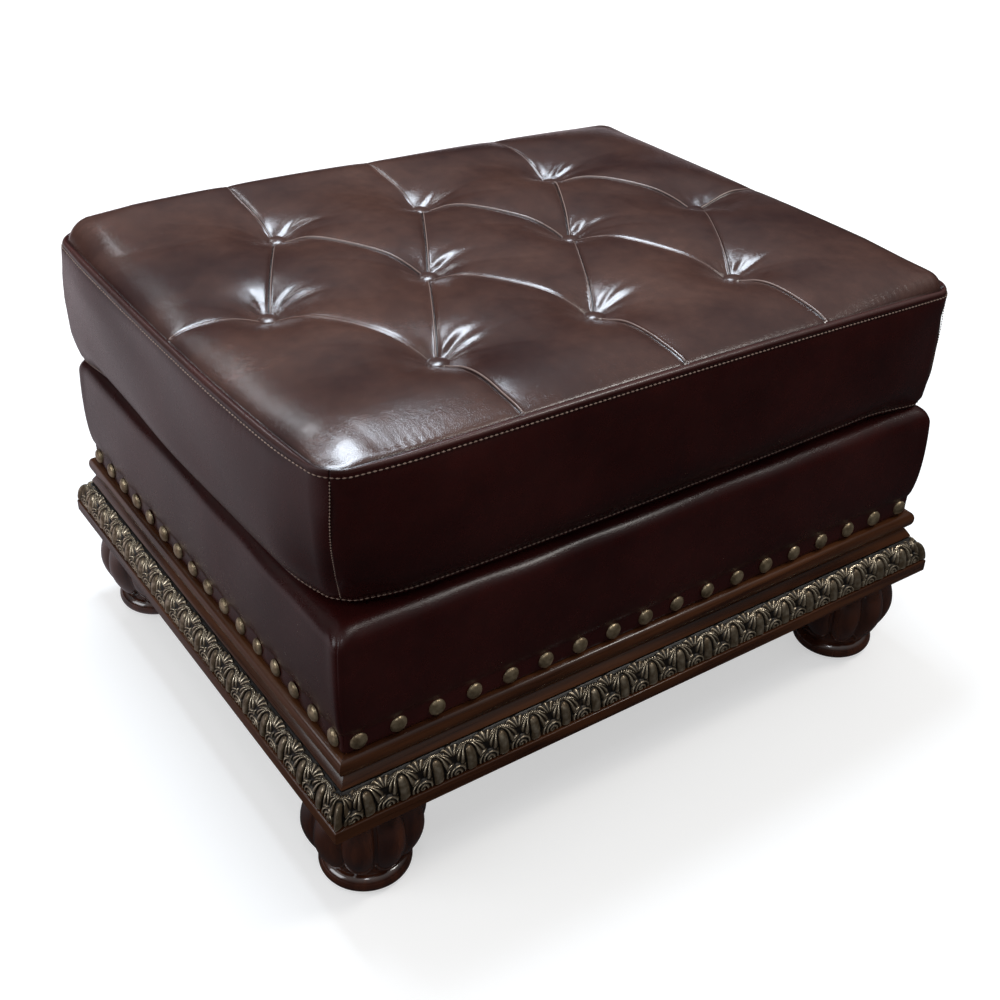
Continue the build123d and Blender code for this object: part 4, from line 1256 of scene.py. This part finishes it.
# Painted shade in the corner seams, the groove under the top seam and along the stitch lines, and a
# faint painted highlight on the strip's crest
wall_light_and_shade = -0.9 * corner_seam - 0.45 * (row <= 1) + 0.05 * on_strip - 0.5 * on_stitches
paint(wall, "wear_and_painted_light", wall_light_and_shade)
middle_x, middle_y = cushion_half_length - swell_reach, cushion_half_depth - swell_reach
out_x, out_y = x - np.clip(x, -middle_x, middle_x), y - np.clip(y, -middle_y, middle_y)
out_length = np.maximum(np.hypot(out_x, out_y), 1e-6)
x = x + out_x / out_length * swell
y = y + out_y / out_length * swell
level = settled(s, t, x, y, level)
seam_x, seam_y = seam_line(s, t)
x, y = np.where(row == 0, seam_x, x), np.where(row == 0, seam_y, y)
level = np.where(row == 0, top_height(seam_x, seam_y), level)
x, y = lean_in(x, y, np.where(row == 0, 500.0, level))
place(wall, x, y, level)
# The cushion's walls take the darker copy of the leather, painted shade
for face in wall.faces:
    face.material_index = 1
join(top, wall)
weld(top, 0.00005)
close_ends(top)
cushion = finish_piece(
    top, "cushion_leather", "cushion", oxblood,
    ["cushion_top_panel", "cushion_bottom_panel", "cushion_foam_core"]
    + [f"cushion_boxing_{side.name}" for side in sides],
)
cushion.data.materials.append(oxblood_shaded)

# Covered buttons
button_shape = bmesh.new()
button_dice = random.Random(9)
for button_x, button_y in buttons:
    base = float(top_height(np.array([button_x]), np.array([button_y]))[0])
    made = bmesh.ops.create_uvsphere(button_shape, u_segments=40, v_segments=20, radius=1.0)
    lean_x, lean_y = (
        Matrix.Rotation(button_dice.uniform(-0.12, 0.12), 4, axis) for axis in ("X", "Y")
    )
    wide, tall = button_radius * to_metres, button_crown * to_metres
    size = Matrix.Diagonal((wide, wide, tall, 1))
    move = Matrix.Translation(Vector((button_x, button_y, base + button_rise)) * to_metres)
    into_place = move @ lean_x @ lean_y @ size
    bmesh.ops.transform(button_shape, matrix=into_place, verts=made["verts"])
finish_piece(
    button_shape, "covered_buttons", "cushion", oxblood, ["cushion_buttons"]
)


# Stitches
def add_stitches(shape, points, length, radius, spacing=1.5):
    """A row of stitches along a line of points, joined by a hair of thread."""
    gaps = np.linalg.norm(points[1:] - points[:-1], axis=1)
    travelled = np.concatenate([[0], np.cumsum(gaps)])
    count = round(travelled[-1] / (length * spacing))
    steps = 7
    rows = count * steps
    chain = sheet(6, rows)
    around_share, row_share = plan(chain)
    row = whole_step(row_share, rows)
    phase = np.clip(np.mod(row, steps) / steps * spacing / 1.05, 0, 1)

    def on_line(where):
        """Places on the line, at distances from its start."""
        return np.stack([np.interp(where, travelled, points[:, axis]) for axis in range(3)], axis=1)

    where = (row / rows) * travelled[-1]
    centre = on_line(where)
    ahead = on_line(np.minimum(where + 1, travelled[-1]))
    behind = on_line(np.maximum(where - 1, 0))
    along = (ahead - behind) / np.linalg.norm(ahead - behind, axis=1)[:, None]
    across = np.stack([along[:, 1], -along[:, 0], 0 * along[:, 0]], axis=1)
    across /= np.maximum(np.linalg.norm(across, axis=1), 1e-6)[:, None]
    third = np.cross(along, across)
    thick = radius * np.sqrt(np.sin(math.pi * phase)) + 0.06
    bearing = (around_share + 1) * math.pi
    spot = centre + across * (thick * np.cos(bearing))[:, None]
    spot = spot + third * (thick * np.sin(bearing))[:, None]
    place(chain, *spot.T)
    weld(chain, 0.000004)
    close_ends(chain)
    join(shape, chain)


def on_cushion(s, t, inset, level):
    """Points on the cushion's side, settled as it is."""
    x, y = cushion_outline(s, t, inset, level)
    level = settled(s, t, x, y, level)
    return np.stack([*lean_in(x, y, level), level], axis=1)


stitching = bmesh.new()
ring_points = 1600
for inset, level, radius in ((3.9, 468.9, 0.68), (17.4, lower_stitches[1], 0.6)):
    s, t = square_edge(np.linspace(0, 1, ring_points))
    add_stitches(stitching, on_cushion(s, t, inset, np.full(ring_points, level)), 3.4, radius)
down_side = (wall_levels < 466) & (wall_levels > 345)
for corner_s, corner_t in ((-1, -1), (1, -1), (1, 1), (-1, 1)):
    inset, level = wall_insets[down_side] + 1.6, wall_levels[down_side]
    s, t = np.full(level.size, corner_s), np.full(level.size, corner_t)
    add_stitches(stitching, on_cushion(s, t, inset, level), 1.8, 0.6, 1.7)
finish_piece(stitching, "seam_stitches", "cushion", thread)

# Floor, light and camera
floor_shape = bmesh.new()
bmesh.ops.create_grid(floor_shape, x_segments=8, y_segments=8, size=14)
floor_material, floor_tree, floor_shader, floor_place = material_base(
    "studio_floor", {"Roughness": 0.9, "Specular IOR Level": 0.1}
)
ray = add_node(floor_tree, "ShaderNodeLightPath").outputs
bounced = blend_colour(
    floor_tree, ray["Is Glossy Ray"], (0.10, 0.095, 0.09), (0.012, 0.011, 0.011)
)
axes = add_node(floor_tree, "ShaderNodeSeparateXYZ", {0: floor_place}).outputs
toward_window = math_node(
    floor_tree, "SUBTRACT", times(floor_tree, axes["Y"], 0.8), times(floor_tree, axes["X"], 0.6)
)
# In reflections only, the floor glows brighter towards the back left as a painted reflection of a
# window, and the camera sees a floor that turns white far away
painted_window_reflection = times(
    floor_tree, ray["Is Glossy Ray"], spread(floor_tree, toward_window, 0.1, 1.25, 0.015, 0.58)
)
from_table = add_node(floor_tree, "ShaderNodeVectorMath", {0: floor_place}, operation="LENGTH")
far_white = times(
    floor_tree, ray["Is Camera Ray"],
    spread(floor_tree, from_table.outputs["Value"], 0.9, 2.4, 0.52, 1.0),
)
feed(floor_tree, floor_shader, {
    "Base Color": blend_colour(floor_tree, ray["Is Camera Ray"], bounced, (0.6, 0.6, 0.6)),
    "Emission Color": blend_colour(floor_tree, ray["Is Camera Ray"], (1, 0.87, 0.93), (1, 1, 1)),
    "Emission Strength": math_node(floor_tree, "MAXIMUM", painted_window_reflection, far_white),
})
floor = make_object(floor_shape, "studio_floor", floor_material)

scene = bpy.context.scene
scene.view_settings.view_transform = "Standard"
world = bpy.data.worlds.new("studio")
scene.world = world
world.use_nodes = True
sky = world.node_tree
ray = add_node(sky, "ShaderNodeLightPath").outputs
direction = add_node(sky, "ShaderNodeTexCoord").outputs["Generated"]
upward = add_node(sky, "ShaderNodeSeparateXYZ", {0: direction}).outputs["Z"]
ceiling = spread(sky, upward, 0.25, 0.8, 0.02, 0.36)
seen = math_node(
    sky, "MAXIMUM", ray["Is Camera Ray"], times(sky, ray["Is Glossy Ray"], ceiling)
)
diffuse = times(sky, ray["Is Diffuse Ray"], 0.42)
feed(sky, sky.nodes["Background"], {
    "Color": opaque(1.0, 1.0, 1.0), "Strength": math_node(sky, "MAXIMUM", seen, diffuse),
})

# Place, width, height, power and tint of each lamp; they all face the middle of the table
lamp_aim = Vector((0, 0, 0.3))
for name, spot, width, height, power, tint in (
    ("overhead_lamp", (-0.05, 0.45, 2.3), 0.95, 0.62, 44, (0.80, 0.89, 1.0)),
    ("camera_side_lamp", (-1.0, -1.5, 2.6), 0.3, 0.25, 5, (0.92, 0.95, 1.0)),
    ("front_lamp", (1.2, -0.9, 2.4), 0.6, 0.5, 18, (1.0, 0.97, 0.92)),
    ("back_window", (-0.3, 2.0, 2.4), 0.5, 0.3, 5, (0.9, 0.95, 1.0)),
    ("left_window", (-2.4, 0.2, 1.4), 1.4, 1.0, 16, (0.93, 0.96, 1.0)),
):
    lamp = bpy.data.lights.new(name, "AREA")
    lamp.shape = "RECTANGLE"
    lamp.size, lamp.size_y = width, height
    lamp.energy, lamp.color = power, tint
    lamp_object = bpy.data.objects.new(name, lamp)
    lamp_object.location = spot
    lamp_object.rotation_euler = (lamp_aim - Vector(spot)).to_track_quat("-Z", "Y").to_euler()
    scene.collection.objects.link(lamp_object)

camera_data = bpy.data.cameras.new("camera")
camera_data.sensor_width = 36.0
camera_data.lens = 50.06
camera_data.clip_start, camera_data.clip_end = 0.05, 60.0
camera = bpy.data.objects.new("camera", camera_data)
scene.collection.objects.link(camera)
camera_place = (-0.78147, -1.11193, 1.06856)
ahead = Vector((0.48363677, 0.68111111, -0.54971187))
right = Vector((0.82455134, -0.56523002, 0.02510206))
above = Vector((0.29361636, 0.46540593, 0.83497709))
turned = Matrix((right, above, -ahead)).transposed().to_4x4()
camera.matrix_world = Matrix.Translation(camera_place) @ turned
scene.camera = camera
